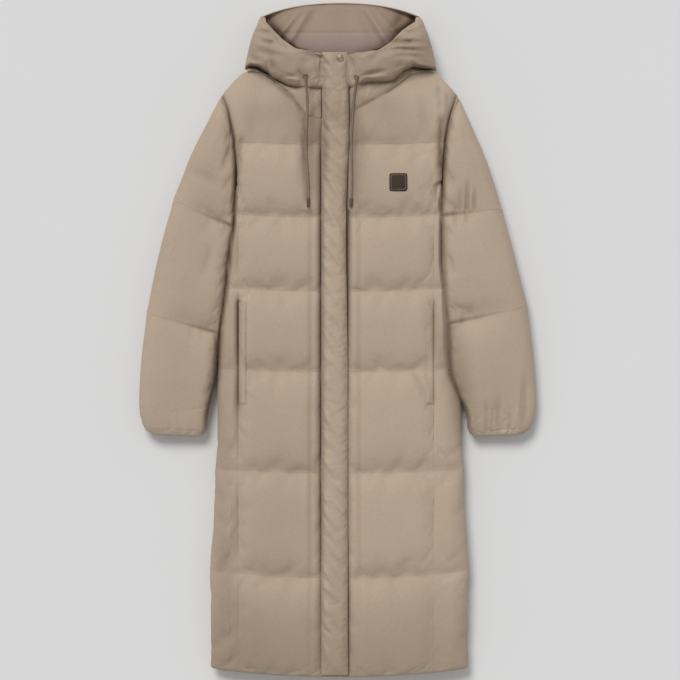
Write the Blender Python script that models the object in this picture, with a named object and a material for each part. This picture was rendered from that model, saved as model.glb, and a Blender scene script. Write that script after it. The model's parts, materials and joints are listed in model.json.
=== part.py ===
"""A long hooded puffer coat, laid out flat on its back.

Metres, +Z up, +Y towards the hood. The back layer lies on the surface at z = 0 and the front layer lies on it.
Every cloth piece is a padded wall between an outer and an inner grid of points. "Half" is a distance from the
coat's centre line, so one table serves both sides.
"""
import math
from typing import NamedTuple

import bmesh
import bpy
from mathutils import Vector

# Driving sizes.
GAP = 0.0003  # between pieces that meet
ZIP_X = 0.004  # centre line of the body
HOOD_X = 0.006  # centre line of the hood
HEM_HALF = 0.257  # widest half of the body
BACK_TOP = 0.026  # top of the padded back layer, which the front layer lies on
CREST = 0.058  # top of a channel's middle
STITCH_TOP = 0.042  # top along a stitched line
MIDDLE = 0.029  # height of the side edge's widest line
GROOVE = 0.006  # how far a stitched line lifts the underside
SLIT = 0.0006  # between the two layers of one folded piece
EDGE_ROUND = 0.034  # depth of the round side edge
FOLD_DEPTH = 0.65  # share of that depth where the inner fold lies
FOLD_ROUND = 0.004
FLAP_ROUND = 0.045  # how far from the storm flap a front takes to rise
SEAM_ROUND = 0.030  # the same from a lengthways seam
SIDE_TOP_Y = 0.305  # the side panels end here, at the armholes


class Side(NamedTuple):
    """What differs from one side to the other."""

    name: str
    sign: int
    princess: float  # half at the front's lengthways seam
    flap: float  # half that the storm flap covers
    eyelet: tuple  # middle of the drawcord's eyelet
    eyelet_up: tuple  # the direction it faces
    cord: tuple  # route of the drawcord


class Quilt(NamedTuple):
    """One stitched line across the body."""

    name: str
    side: float  # y at the side edge
    zip: float  # y at the centre


QUILTS = (
    Quilt("hem", -0.638, -0.656),
    Quilt("shin", -0.449, -0.465),
    Quilt("knee", -0.251, -0.261),
    Quilt("hip", -0.056, -0.064),
    Quilt("waist", 0.102, 0.092),
    Quilt("bust", 0.246, 0.236),
    Quilt("yoke", 0.386, 0.378),
)
YOKE = len(QUILTS) - 1


class Edge(NamedTuple):
    """Half width of the body: the side edge up to the underarm, then the armhole."""

    y: float
    half: float


EDGES = (
    Edge(-0.660, 0.254),
    Edge(-0.520, 0.257),
    Edge(-0.420, 0.255),
    Edge(-0.330, 0.251),
    Edge(-0.250, 0.245),
    Edge(-0.060, 0.240),
    Edge(0.090, 0.236),
    Edge(0.240, 0.229),
    Edge(0.275, 0.212),
    Edge(0.310, 0.200),
    Edge(0.360, 0.204),
    Edge(0.471, 0.231),
)


class Profile(NamedTuple):
    """A rise as shares of its full distance and height."""

    at: float
    rise: float


PUFF = (Profile(0.0, 0.0), Profile(0.14, 0.74), Profile(0.5, 1.0), Profile(0.86, 0.74), Profile(1.0, 0.0))
ROUND = (Profile(0.0, 0.0), Profile(0.2, 0.6), Profile(0.5, 0.87), Profile(1.0, 1.0))
ROW_SHARES = (0.0, 0.14, 0.5, 0.86)
CAP_SHARES = (0.0, 0.14, 0.3, 0.5, 0.86)  # a sleeve's rows beside the armhole
ARMHOLE_SHARE = 0.42  # share of the bust channel where the side panels end
ARC_DEGREES = (60, 30, 0, -30, -60)


class Neck(NamedTuple):
    """Top edge of a front: round the neck, then down the shoulder."""

    half: float
    y: float
    top: float


NECKLINE = (
    Neck(0.0055, 0.441, STITCH_TOP),
    Neck(0.036, 0.443, STITCH_TOP),
    Neck(0.052, 0.446, STITCH_TOP),
    Neck(0.083, 0.465, STITCH_TOP),
    Neck(0.111, 0.490, STITCH_TOP),
    Neck(0.147, 0.508, 0.040),
    Neck(0.190, 0.520, 0.034),
    Neck(0.213, 0.492, 0.034),
    Neck(0.231, 0.471, 0.034),
)
COLLAR_END = (0.184, 0.5185)  # half and y of the collar's low corner at the shoulder


class BackNeck(NamedTuple):
    """Top edge of the back."""

    half: float
    y: float
    under: float


BACK_NECK = (
    BackNeck(-0.231, 0.471, 0.020),
    BackNeck(-0.190, 0.520, 0.020),
    BackNeck(-0.080, 0.519, GROOVE),
    BackNeck(0.0, 0.518, GROOVE),
    BackNeck(0.080, 0.519, GROOVE),
    BackNeck(0.190, 0.520, 0.020),
    BackNeck(0.231, 0.471, 0.020),
)
BACK_COLUMNS = (-1.0, -0.92, -0.45, 0.0, 0.45, 0.92, 1.0)


class Ring(NamedTuple):
    """One ring of a sleeve, flattened: its two ends in plan, and its heights."""

    inner: float
    inner_y: float
    outer: float
    outer_y: float
    crest: float  # top of the padding
    tip: float  # top at the inner end


LEFT_RINGS = (
    Ring(0.233, 0.467, 0.240, 0.461, 0.036, 0.034),
    Ring(0.217, 0.437, 0.261, 0.422, 0.052, 0.042),
    Ring(0.206, 0.385, 0.291, 0.364, 0.056, 0.042),
    Ring(0.202, 0.325, 0.310, 0.317, 0.056, 0.042),
    Ring(0.206, 0.219, 0.328, 0.268, 0.056, 0.036),
    Ring(0.216, 0.149, 0.351, 0.188, 0.056, 0.030),
    Ring(0.224, 0.075, 0.369, 0.108, 0.055, 0.030),
    Ring(0.234, 0.011, 0.379, 0.050, 0.054, 0.030),
    Ring(0.240, -0.071, 0.391, -0.042, 0.052, 0.030),
    Ring(0.256, -0.143, 0.394, -0.132, 0.044, 0.030),
    Ring(0.260, -0.186, 0.382, -0.183, 0.036, 0.029),
)
RIGHT_RINGS = (
    Ring(0.233, 0.467, 0.240, 0.461, 0.036, 0.034),
    Ring(0.217, 0.437, 0.258, 0.422, 0.052, 0.042),
    Ring(0.206, 0.385, 0.284, 0.364, 0.056, 0.042),
    Ring(0.202, 0.325, 0.303, 0.312, 0.056, 0.042),
    Ring(0.199, 0.229, 0.318, 0.264, 0.056, 0.036),
    Ring(0.199, 0.149, 0.339, 0.188, 0.056, 0.030),
    Ring(0.205, 0.081, 0.359, 0.108, 0.055, 0.030),
    Ring(0.214, 0.026, 0.370, 0.069, 0.054, 0.030),
    Ring(0.216, -0.069, 0.383, -0.042, 0.052, 0.030),
    Ring(0.2455, -0.141, 0.386, -0.132, 0.044, 0.030),
    Ring(0.252, -0.186, 0.374, -0.183, 0.036, 0.029),
)
SLEEVE_QUILTS = (0, 4, 7, 9)  # rings that lie on a stitched line
CUFF_RINGS = (9.0, 9.35, 9.8, 10.0)
SLEEVE_MIDDLE = 0.027
SLEEVE_ROUND = 0.030
TIP_ROUND = 0.026
SLEEVE_CLEAR = 0.002  # where a sleeve lies on the body
SPLIT_CLEAR = 0.003  # from the body's edge to the sleeve's under layer
UPPER_LAYER = 0.014  # the sleeve's upper layer where it lies on the body
TIP_LAYER = 0.003


class Hood(NamedTuple):
    """One row of a hood side, from its front end round the side edge to the centre panel."""

    front: float
    front_y: float
    side: float
    side_y: float
    back_y: float
    crest: float


HOODS = (
    Hood(0.009, 0.482, 0.190, 0.525, 0.5195, 0.054),
    Hood(0.009, 0.505, 0.187, 0.540, 0.545, 0.068),
    Hood(0.009, 0.535, 0.182, 0.558, 0.572, 0.072),
    Hood(0.009, 0.560, 0.178, 0.574, 0.588, 0.072),
    Hood(0.048, 0.561, 0.175, 0.584, 0.598, 0.071),
    Hood(0.077, 0.567, 0.172, 0.594, 0.609, 0.069),
    Hood(0.101, 0.580, 0.167, 0.604, 0.620, 0.065),
    Hood(0.122, 0.597, 0.161, 0.614, 0.631, 0.058),
    Hood(0.142, 0.614, 0.155, 0.622, 0.641, 0.046),
    Hood(0.149, 0.624, 0.152, 0.6265, 0.6505, 0.034),
)
HOOD_BACK = 0.075  # half of the centre panel
HOOD_LAYER = 0.022
HOOD_WALL = 0.020
HOOD_LIP_LOW = 0.048  # top beside the storm flap
HOOD_COLUMNS = (0.0, 0.12, 0.35, 0.65, 1.0)
CROWN_Y = 0.656  # top of the hood

LINING_DEPTH = 0.0015


class Lining(NamedTuple):
    """One row of the hood's lining."""

    y: float
    half: float


LININGS = (
    Lining(0.525, 0.140),
    Lining(0.560, 0.146),
    Lining(0.590, 0.138),
    Lining(0.612, 0.126),
    Lining(0.630, 0.100),
    Lining(0.642, 0.066),
)

FLAP_LEFT_X = -0.033
FLAP_RIGHT_X = 0.020
FLAP_COLUMNS = (0.0, 0.12, 0.35, 0.65, 0.88, 1.0)
FLAP_EDGE = 0.007
FLAP_DEPTH = 0.017
FLAP_ROWS = 24
FLAP_HEM_Y = -0.652
FLAP_TOP_Y = 0.558
ZIP_SIZE = (0.009, 1.16, 0.008)
ZIP_MIDDLE = (ZIP_X, -0.030, 0.034)

WELT_WIDTH = 0.014
WELT_DEPTH = 0.0025
WELT_Y = (-0.127, 0.070)
PATCH_SIDE = 0.035
PATCH_DEPTH = 0.0018
PATCH_MIDDLE = (0.118, 0.303)
PATCH_CELLS = 4

EYELET_RADIUS = 0.0055
EYELET_HOLE = 0.0028
EYELET_DEPTH = 0.0012
STUD_RADIUS = 0.0065
STUD_DEPTH = 0.003
STUD_MIDDLE = (0.005, 0.544)
CORD_RADIUS = 0.00225
CORD_POINTS = 24
TIP_RADIUS = 0.0034
TIP_LENGTH = 0.017

# The routes of the drawcords, from the eyelets down over the fronts.
LEFT_CORD = (
    (-0.0620, 0.5080, 0.0656),
    (-0.0618, 0.5010, 0.0626),
    (-0.0612, 0.4920, 0.0586),
    (-0.0602, 0.4800, 0.0563),
    (-0.0592, 0.4700, 0.0546),
    (-0.0590, 0.4600, 0.0524),
    (-0.0588, 0.4500, 0.0517),
    (-0.0590, 0.4400, 0.0538),
    (-0.0594, 0.4250, 0.0568),
    (-0.0600, 0.4100, 0.0571),
    (-0.0606, 0.3950, 0.0561),
    (-0.0610, 0.3820, 0.0536),
    (-0.0610, 0.3700, 0.0536),
    (-0.0605, 0.3550, 0.0558),
    (-0.0594, 0.3400, 0.0571),
    (-0.0580, 0.3240, 0.0581),
    (-0.0572, 0.3120, 0.0586),
    (-0.0564, 0.2980, 0.0585),
    (-0.0560, 0.2850, 0.0580),
    (-0.0562, 0.2720, 0.0575),
)
RIGHT_CORD = (
    (0.0370, 0.5060, 0.0672),
    (0.0366, 0.4990, 0.0644),
    (0.0354, 0.4900, 0.0592),
    (0.0336, 0.4780, 0.0540),
    (0.0322, 0.4660, 0.0506),
    (0.0310, 0.4550, 0.0491),
    (0.0300, 0.4440, 0.0477),
    (0.0292, 0.4300, 0.0481),
    (0.0284, 0.4150, 0.0489),
    (0.0276, 0.4000, 0.0494),
    (0.0272, 0.3880, 0.0491),
    (0.0270, 0.3800, 0.0483),
    (0.0270, 0.3700, 0.0490),
    (0.0272, 0.3550, 0.0517),
    (0.0274, 0.3400, 0.0523),
    (0.0277, 0.3240, 0.0532),
    (0.0278, 0.3100, 0.0539),
    (0.0276, 0.2960, 0.0537),
    (0.0272, 0.2840, 0.0535),
    (0.0268, 0.2720, 0.0531),
)
LEFT = Side("left", -1, 0.197, ZIP_X - FLAP_LEFT_X, (-0.062, 0.508, 0.0609), (0.04, -0.465, 0.884), LEFT_CORD)
RIGHT = Side("right", 1, 0.183, FLAP_RIGHT_X - ZIP_X, (0.037, 0.506, 0.0613), (-0.37, -0.25, 0.90), RIGHT_CORD)


def lerp(low, high, share):
    """A number a share of the way from one to another."""
    return low + (high - low) * share


def read(table, at, column=1):
    """Read a table along its first column, with straight lines between its rows."""
    if at <= table[0][0]:
        return table[0][column]
    for low, high in zip(table, table[1:]):
        if at <= high[0]:
            return lerp(low[column], high[column], (at - low[0]) / (high[0] - low[0]))
    return table[-1][column]


def puff(share):
    """Rise across a quilted channel."""
    return read(PUFF, share)


def rounded(distance, full):
    """Rise at a distance from a seam."""
    return read(ROUND, distance / full)


def row_y(channel, share, half):
    """y of a row a share of the way up a channel; the stitched lines droop towards the centre."""
    droop = (half / HEM_HALF) ** 2
    low, high = (lerp(quilt.zip, quilt.side, droop) for quilt in QUILTS[channel : channel + 2])
    return lerp(low, high, share)


def channel_share(half, y):
    """How far up its channel a place on the body lies."""
    for channel in range(YOKE):
        low, high = row_y(channel, 0.0, half), row_y(channel, 1.0, half)
        if y <= high:
            return max(0.0, (y - low) / (high - low))
    return 0.0


def princess(side, y):
    """Half at a front's lengthways seam, which curves into the armhole."""
    curve = max(0.0, (y - 0.20) / 0.15) ** 2
    return lerp(side.princess, 0.2, min(1.0, curve))


def back_seam(y):
    """Half at the back's lengthways seam."""
    return lerp(0.165, 0.2, min(1.0, max(0.0, (y - 0.1) / 0.25)) ** 2)


def front_edge(side, y):
    """Half at the outer border of a front: the lengthways seam, then the armhole."""
    return princess(side, y) if y < SIDE_TOP_Y else read(EDGES, y)


def back_edge(y):
    """Half at the outer border of the back."""
    return back_seam(y) if y < SIDE_TOP_Y else read(EDGES, y)


def front_top(side, half, y):
    """Height of a front's outer face, below the yoke line."""
    from_flap = rounded(half - side.flap, FLAP_ROUND)
    from_seam = rounded(front_edge(side, y) - half, SEAM_ROUND)
    return lerp(STITCH_TOP, CREST, puff(channel_share(half, y)) * from_flap * from_seam)


def edge_top(depth, round_depth):
    """Height of the body's highest outline at a depth in from its side edge."""
    share = min(1.0, max(0.0, depth / round_depth))
    return MIDDLE + (CREST - MIDDLE) * math.sqrt(1.0 - (1.0 - share) ** 2)


def edge_round(side, y):
    """Depth of the round side edge, which narrows with the side panel."""
    return min(EDGE_ROUND, 0.7 * (read(EDGES, y) - princess(side, y)))


def arc(edge, depth, top, middle, bottom):
    """Points round an edge, as half and height, from above to below."""
    points = []
    for degrees in ARC_DEGREES:
        across, up = math.cos(math.radians(degrees)), math.sin(math.radians(degrees))
        reach = top - middle if up > 0 else middle - bottom
        points.append((edge - depth + depth * across, middle + reach * up))
    return points


def fold(edge, depth):
    """Points round the narrow fold inside an edge."""
    reach = FOLD_ROUND * depth / EDGE_ROUND
    return arc(edge - depth * FOLD_DEPTH, reach, BACK_TOP + SLIT, BACK_TOP + SLIT / 2, BACK_TOP)


def material(name, colour, roughness, metallic=0.0):
    """A plain finish."""
    finish = bpy.data.materials.new(name)
    finish.use_nodes = True
    shader = finish.node_tree.nodes["Principled BSDF"]
    shader.inputs["Base Color"].default_value = (*colour, 1.0)
    shader.inputs["Roughness"].default_value = roughness
    shader.inputs["Metallic"].default_value = metallic
    return finish


def add(name, mesh, finish, root):
    """Make a named object of a bmesh, on the coat's root."""
    data = bpy.data.meshes.new(name)
    mesh.to_mesh(data)
    mesh.free()
    data.shade_smooth()
    data.set_sharp_from_angle(angle=math.radians(50))
    data.materials.append(finish)
    piece = bpy.data.objects.new(name, data)
    piece.parent = root
    bpy.context.collection.objects.link(piece)
    return piece


def cloth(name, outer, inner, finish, root):
    """A closed wall between two grids of points."""
    mesh = bmesh.new()
    top, under = ([[mesh.verts.new(point) for point in row] for row in grid] for grid in (outer, inner))
    rows, columns = len(top), len(top[0])
    for r in range(rows - 1):
        for c in range(columns - 1):
            mesh.faces.new((top[r][c], top[r][c + 1], top[r + 1][c + 1], top[r + 1][c]))
            mesh.faces.new((under[r][c], under[r + 1][c], under[r + 1][c + 1], under[r][c + 1]))
        for c in (0, -1):
            mesh.faces.new((top[r][c], top[r + 1][c], under[r + 1][c], under[r][c]))
    for c in range(columns - 1):
        for r in (0, -1):
            mesh.faces.new((top[r][c], under[r][c], under[r][c + 1], top[r][c + 1]))
    bmesh.ops.recalc_face_normals(mesh, faces=mesh.faces)
    return add(name, mesh, finish, root)


def body_rows():
    """Channel and share of each row below the yoke line, upwards."""
    rows = [(channel, share) for channel in range(YOKE) for share in ROW_SHARES]
    rows.append((YOKE - 1, ARMHOLE_SHARE))
    return sorted(rows)


def front(side, finish, root):
    """One front, from the zip to the lengthways seam and the armhole, up to the neck and shoulder."""
    outer, inner = [], []
    for channel, share in [*body_rows(), (YOKE - 1, 1.0)]:
        border = front_edge(side, row_y(channel, share, 0.2)) - GAP / 2
        from_flap = [side.flap + FLAP_ROUND * stop.at for stop in ROUND]
        from_seam = [border - SEAM_ROUND * stop.at for stop in reversed(ROUND)]
        halves = [NECKLINE[0].half, *from_flap, *from_seam]
        rises = [0.0, *(stop.rise for stop in ROUND), *(stop.rise for stop in reversed(ROUND))]
        points = [(half, row_y(channel, share, half)) for half in halves]
        up = [lerp(STITCH_TOP, CREST, puff(share) * rise) for rise in rises]
        outer.append([(*point, height) for point, height in zip(points, up)])
    for share in [*ROW_SHARES[1:], 1.0]:
        row = []
        for (half, y, _), neck, rise in zip(outer[len(body_rows())], NECKLINE, rises):
            at_neck = side.flap if neck is NECKLINE[1] else neck.half
            height = lerp(STITCH_TOP, neck.top, share) + (CREST - STITCH_TOP) * puff(share) * rise
            row.append((lerp(half, at_neck, share), lerp(y, neck.y, share), height))
        outer.append(row)
    outer = [[(ZIP_X + side.sign * half, y, height) for half, y, height in row] for row in outer]
    inner = [[(x, y, BACK_TOP + GAP) for x, y, height in row] for row in outer]
    return cloth(f"front_{side.name}", outer, inner, finish, root)


def back(finish, root):
    """The back, between its two lengthways seams, up to the neck and shoulders."""
    lower = []
    for channel, share in [*body_rows(), (YOKE - 1, 1.0)]:
        border = back_edge(row_y(channel, share, 0.2)) - GAP / 2
        row = []
        for column in BACK_COLUMNS:
            half = border * column
            on_seam = abs(column) == 1.0 or share in (0.0, 1.0)
            row.append((half, row_y(channel, share, abs(half)), GROOVE if on_seam else 0.0))
        lower.append(row)
    yoke = lower[-1]
    for share in [*ROW_SHARES[1:], 1.0]:
        row = []
        for (half, y, _), neck in zip(yoke, BACK_NECK):
            on_armhole = abs(neck.half) == BACK_NECK[-1].half
            start = GROOVE if on_armhole else 0.0
            height = lerp(start, neck.under, share) if share > 0.5 else start
            row.append((lerp(half, neck.half, share), lerp(y, neck.y, share), height))
        lower.append(row)
    lower = [[(ZIP_X + half, y, height) for half, y, height in row] for row in lower]
    upper = [[(x, y, BACK_TOP) for x, y, height in row] for row in lower]
    return cloth("back", upper, lower, finish, root)


def side_panel(side, finish, root):
    """A side panel: from the front's seam round the side edge to the back's seam."""
    outer, inner = [], []
    for channel, share in body_rows():
        y = row_y(channel, share, 0.2)
        if y > SIDE_TOP_Y + 0.002:
            break
        seam, under_seam, edge = princess(side, y) + GAP / 2, back_seam(y) + GAP / 2, read(EDGES, y)
        depth = edge_round(side, y)
        edge -= 0.003 * (1.0 - puff(share))
        top = lerp(STITCH_TOP, CREST, puff(share))
        bottom = 0.0 if 0.0 < share < 1.0 else GROOVE
        inside = edge - depth
        run = [(seam, STITCH_TOP), (lerp(seam, inside, 0.4), lerp(STITCH_TOP, top, 0.75)), (inside, top)]
        back_run = [(inside, bottom), (lerp(inside, under_seam, 0.8), bottom), (under_seam, GROOVE)]
        outside = [*run, *arc(edge, depth, top, MIDDLE, bottom), *back_run]
        within = [(half, BACK_TOP + SLIT) for half, _ in run] + fold(edge, depth)
        within += [(half, BACK_TOP) for half, _ in back_run]
        for rows, path in ((outer, outside), (inner, within)):
            ys = [row_y(channel, share, half) for half, _ in path]
            rows.append([(ZIP_X + side.sign * half, y, height) for (half, height), y in zip(path, ys)])
    return cloth(f"side_panel_{side.name}", outer, inner, finish, root)


def ring_at(rings, place):
    """A ring between those of the table."""
    low = min(int(place), len(rings) - 2)
    return Ring(*(lerp(a, b, place - low) for a, b in zip(rings[low], rings[low + 1])))


def sleeve_row(side, ring, swell):
    """Outer and inner points of one ring, from its inner end over the top, round the edge and back below."""
    body = read(EDGES, ring.inner_y)
    at_armhole = ring.inner_y > SIDE_TOP_Y
    tip = max(ring.inner, body + SLEEVE_CLEAR) if at_armhole else ring.inner
    overlap = 0.0 if at_armhole else body - tip
    round_depth = edge_round(side, ring.inner_y)
    depth = min(SLEEVE_ROUND, 0.45 * (ring.outer - tip))
    if overlap > 0.0:
        widest = math.acos(1.0 - min(overlap, round_depth) / round_depth)
        lying = [overlap, *(round_depth * (1.0 - math.cos(widest * part)) for part in (0.75, 0.5, 0.25))]
        on_body = [(body - inward, edge_top(inward, round_depth) + SLEEVE_CLEAR) for inward in lying]
        under_tip = body + SPLIT_CLEAR
    else:
        on_body = [(lerp(tip, ring.outer, share), BACK_TOP + SLIT) for share in (0.0, 0.015, 0.04, 0.075)]
        under_tip = tip
    inside = ring.outer - depth
    split = max(under_tip, lerp(on_body[-1][0], ring.outer, 0.03))
    run = [*on_body, (split, BACK_TOP + SLIT)]
    run += [(lerp(split, inside, share), BACK_TOP + SLIT) for share in (0.33, 0.66, 1.0)]
    top = lerp(ring.tip, ring.crest, swell)
    over = []
    for half, floor in run:
        from_tip = rounded(half - tip, TIP_ROUND)
        crown = lerp(ring.tip, top, from_tip)
        over.append((half, max(crown, floor + lerp(TIP_LAYER, UPPER_LAYER, from_tip) * (overlap > 0.0))))
    bottom = 0.0 if swell > 0.0 else GROOVE
    tip_under = GROOVE if at_armhole else 2 * GROOVE
    back_run = [(inside, bottom), (lerp(inside, under_tip, 0.7), bottom), (under_tip, tip_under)]
    outside = [*over, *arc(ring.outer, depth, over[-1][1], SLEEVE_MIDDLE, bottom), *back_run]
    within = [*run, *fold(ring.outer, depth), *((half, BACK_TOP) for half, _ in back_run)]

    def place(path):
        span = ring.outer - tip
        return [
            (ZIP_X + side.sign * half, lerp(ring.inner_y, ring.outer_y, (half - tip) / span), height)
            for half, height in path
        ]

    return place(outside), place(within)


def sleeve(side, rings, finish, root):
    """A one-piece sleeve with its seam on the inner edge."""
    rows = []
    for low, high in zip(SLEEVE_QUILTS, SLEEVE_QUILTS[1:]):
        shares = CAP_SHARES if low == 0 else ROW_SHARES
        rows += [sleeve_row(side, ring_at(rings, lerp(low, high, share)), puff(share)) for share in shares]
    rows.append(sleeve_row(side, ring_at(rings, SLEEVE_QUILTS[-1] - 0.01), 0.0))
    outer, inner = zip(*rows)
    return cloth(f"sleeve_{side.name}", outer, inner, finish, root)


def cuff(side, rings, finish, root):
    """The elasticated end of a sleeve."""
    outer, inner = zip(*(sleeve_row(side, ring_at(rings, place), 0.5) for place in CUFF_RINGS))
    return cloth(f"cuff_{side.name}", outer, inner, finish, root)


def hood_row(side, hood):
    """Outer and inner points of one row of a hood side."""
    depth = min(0.036, 0.7 * (hood.side - hood.front))
    inside = hood.side - depth
    wall = min(HOOD_WALL, 0.6 * depth)
    middle = hood.crest / 2
    on_rim = hood.front > HOODS[0].front
    beside = 0.002 if on_rim else side.flap + side.sign * (ZIP_X - HOOD_X) + 0.002 - hood.front
    halves = [hood.front, *(lerp(hood.front + beside, inside, share) for share in HOOD_COLUMNS)]
    over = []
    for half in halves:
        if on_rim:
            rise = rounded(half - hood.front, 0.04)
            over.append(hood.crest - 0.008 * (1.0 - rise) * min(1.0, depth / 0.036))
        else:
            over.append(lerp(HOOD_LIP_LOW, hood.crest, rounded(half - hood.front - beside, 0.05)))
    back_halves = [inside, lerp(inside, HOOD_BACK, 0.5), HOOD_BACK + GAP]
    outside = list(zip(halves, over)) + arc(hood.side, depth, hood.crest, middle, 0.0)
    outside += [(half, 0.0) for half in back_halves]
    layer = min(HOOD_LAYER, middle - 0.002)
    thick = min(HOOD_WALL, (hood.crest - layer) * 0.42)
    within = [(half, height - thick) for half, height in zip(halves, over)]
    last = within[-1][1]
    within += arc(hood.side - wall, max(depth - wall, 0.0005), last, lerp(layer, last, 0.5), layer)
    within += [(half, layer) for half in back_halves]

    def place(path):
        points = []
        for index, (half, height) in enumerate(path):
            if index <= len(halves) + ARC_DEGREES.index(0):
                y = lerp(hood.front_y, hood.side_y, (half - hood.front) / (hood.side - hood.front))
            else:
                y = lerp(hood.side_y, hood.back_y, (hood.side - half) / (hood.side - HOOD_BACK))
            points.append((HOOD_X + side.sign * half, y, height))
        return points

    return place(outside), place(within)


def hood_side(side, finish, root):
    """A hood side: its front lip, the round side edge and its share of the back."""
    outer, inner = zip(*(hood_row(side, hood) for hood in HOODS))
    return cloth(f"hood_{side.name}", outer, inner, finish, root)


def hood_centre(finish, root):
    """The hood's centre panel, which lies on the surface."""
    lower, upper = [], []
    for hood in HOODS:
        halves = [HOOD_BACK * share for share in (-1.0, -0.5, 0.0, 0.5, 1.0)]
        arch = CROWN_Y - HOODS[-1].back_y if hood is HOODS[-1] else 0.0
        ys = [hood.back_y + arch * (1.0 - (half / HOOD_BACK) ** 2) for half in halves]
        lower.append([(HOOD_X + half, y, 0.0) for half, y in zip(halves, ys)])
        upper.append([(x, y, min(HOOD_LAYER, hood.crest / 2 - 0.002)) for x, y, _ in lower[-1]])
    return cloth("hood_centre", upper, lower, finish, root)


def hood_lining(finish, root):
    """The lining that shows inside the hood."""
    floor = HOOD_LAYER + GAP
    shares = (-1.0, -0.5, 0.0, 0.5, 1.0)
    lower = [[(HOOD_X + lining.half * share, lining.y, floor) for share in shares] for lining in LININGS]
    upper = [[(x, y, height + LINING_DEPTH) for x, y, height in row] for row in lower]
    return cloth("hood_lining", upper, lower, finish, root)


def collar(side, finish, root):
    """The band between the neck seam and the hood."""
    low = [(side.flap if neck is NECKLINE[1] else neck.half, neck.y) for neck in NECKLINE[:6]]
    low.append(COLLAR_END)
    base = HOODS[0]
    outer = []
    for share, rise in ((0.0, 0.0), (0.3, 0.8), (0.7, 0.9), (1.0, 0.4)):
        row = []
        for half, y in low:
            seam_y = lerp(base.front_y, base.side_y, (half - base.front) / (base.side - base.front))
            swell = 0.010 * rise * rounded(half - side.flap, 0.03)
            height = lerp(STITCH_TOP, HOOD_LIP_LOW - 0.001, share) + swell
            row.append((ZIP_X + side.sign * half, lerp(y + GAP, seam_y - 3 * GAP, share), height))
        outer.append(row)
    inner = [[(x, y, BACK_TOP + GAP) for x, y, height in row] for row in outer]
    return cloth(f"collar_{side.name}", outer, inner, finish, root)


def flap_floor(y):
    """What the storm flap lies on."""
    return lerp(STITCH_TOP, HOOD_LIP_LOW, min(1.0, max(0.0, (y - 0.405) / 0.035))) + 2 * GAP


def storm_flap(finish, root):
    """The padded flap over the zip, from the hem to the hood's lip."""
    outer = []
    for row in range(FLAP_ROWS + 1):
        y = lerp(FLAP_HEM_Y, FLAP_TOP_Y, row / FLAP_ROWS)
        points = []
        for share in FLAP_COLUMNS:
            height = lerp(FLAP_EDGE, FLAP_DEPTH, rounded(0.5 - abs(share - 0.5), 0.35))
            points.append((lerp(FLAP_LEFT_X, FLAP_RIGHT_X, share), y, flap_floor(y) + height))
        outer.append(points)
    inner = [[(x, y, flap_floor(y)) for x, y, height in row] for row in outer]
    return cloth("storm_flap", outer, inner, finish, root)


def flap_top(y):
    """Height of the storm flap's middle."""
    return flap_floor(y) + FLAP_DEPTH


def closed_zip(finish, root):
    """The closed front zip, under the storm flap."""
    mesh = bmesh.new()
    bmesh.ops.create_cube(mesh, size=1.0)
    bmesh.ops.scale(mesh, vec=ZIP_SIZE, verts=mesh.verts)
    bmesh.ops.translate(mesh, vec=ZIP_MIDDLE, verts=mesh.verts)
    return add("front_zip", mesh, finish, root)


def welt(side, finish, root):
    """A pocket's welt, lying on the front beside the lengthways seam."""
    outer_half = side.princess - GAP
    halves = [outer_half - WELT_WIDTH, outer_half - SEAM_ROUND * ROUND[1].at, outer_half]
    stops = sorted({row_y(channel, share, outer_half) for channel, share in body_rows()} | set(WELT_Y))
    outer, inner = [], []
    for y in (stop for stop in stops if WELT_Y[0] <= stop <= WELT_Y[1]):
        floor = [(ZIP_X + side.sign * half, y, front_top(side, half, y) + 2 * GAP) for half in halves]
        inner.append(floor)
        outer.append([(x, y, height + WELT_DEPTH) for x, y, height in floor])
    return cloth(f"pocket_welt_{side.name}", outer, inner, finish, root)


def patch(finish, root):
    """A plain square patch on the right chest."""
    inner = []
    for row in range(PATCH_CELLS + 1):
        y = PATCH_MIDDLE[1] + PATCH_SIDE * (row / PATCH_CELLS - 0.5)
        xs = [PATCH_MIDDLE[0] + PATCH_SIDE * (column / PATCH_CELLS - 0.5) for column in range(PATCH_CELLS + 1)]
        inner.append([(x, y, front_top(RIGHT, x - ZIP_X, y) + 2 * GAP) for x in xs])
    outer = [[(x, y, height + PATCH_DEPTH) for x, y, height in row] for row in inner]
    return cloth("chest_patch", outer, inner, finish, root)


def smooth_route(points, count):
    """Points at even steps along a smooth curve through a route's own points."""
    dense = []
    padded = [points[0], *points, points[-1]]
    for before, start, end, after in zip(padded, padded[1:], padded[2:], padded[3:]):
        a, b, c, d = (Vector(point) for point in (before, start, end, after))
        for step in range(12):
            t = step / 12
            bend = (2 * a - 5 * b + 4 * c - d) * t * t + (3 * b - a - 3 * c + d) * t**3
            dense.append(0.5 * (2 * b + (c - a) * t + bend))
    dense.append(Vector(points[-1]))
    lengths = [0.0]
    for start, end in zip(dense, dense[1:]):
        lengths.append(lengths[-1] + (end - start).length)
    table = [(length, *point) for length, point in zip(lengths, dense)]
    at = [lengths[-1] * step / count for step in range(count + 1)]
    return [Vector([read(table, length, axis) for axis in (1, 2, 3)]) for length in at]


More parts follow.
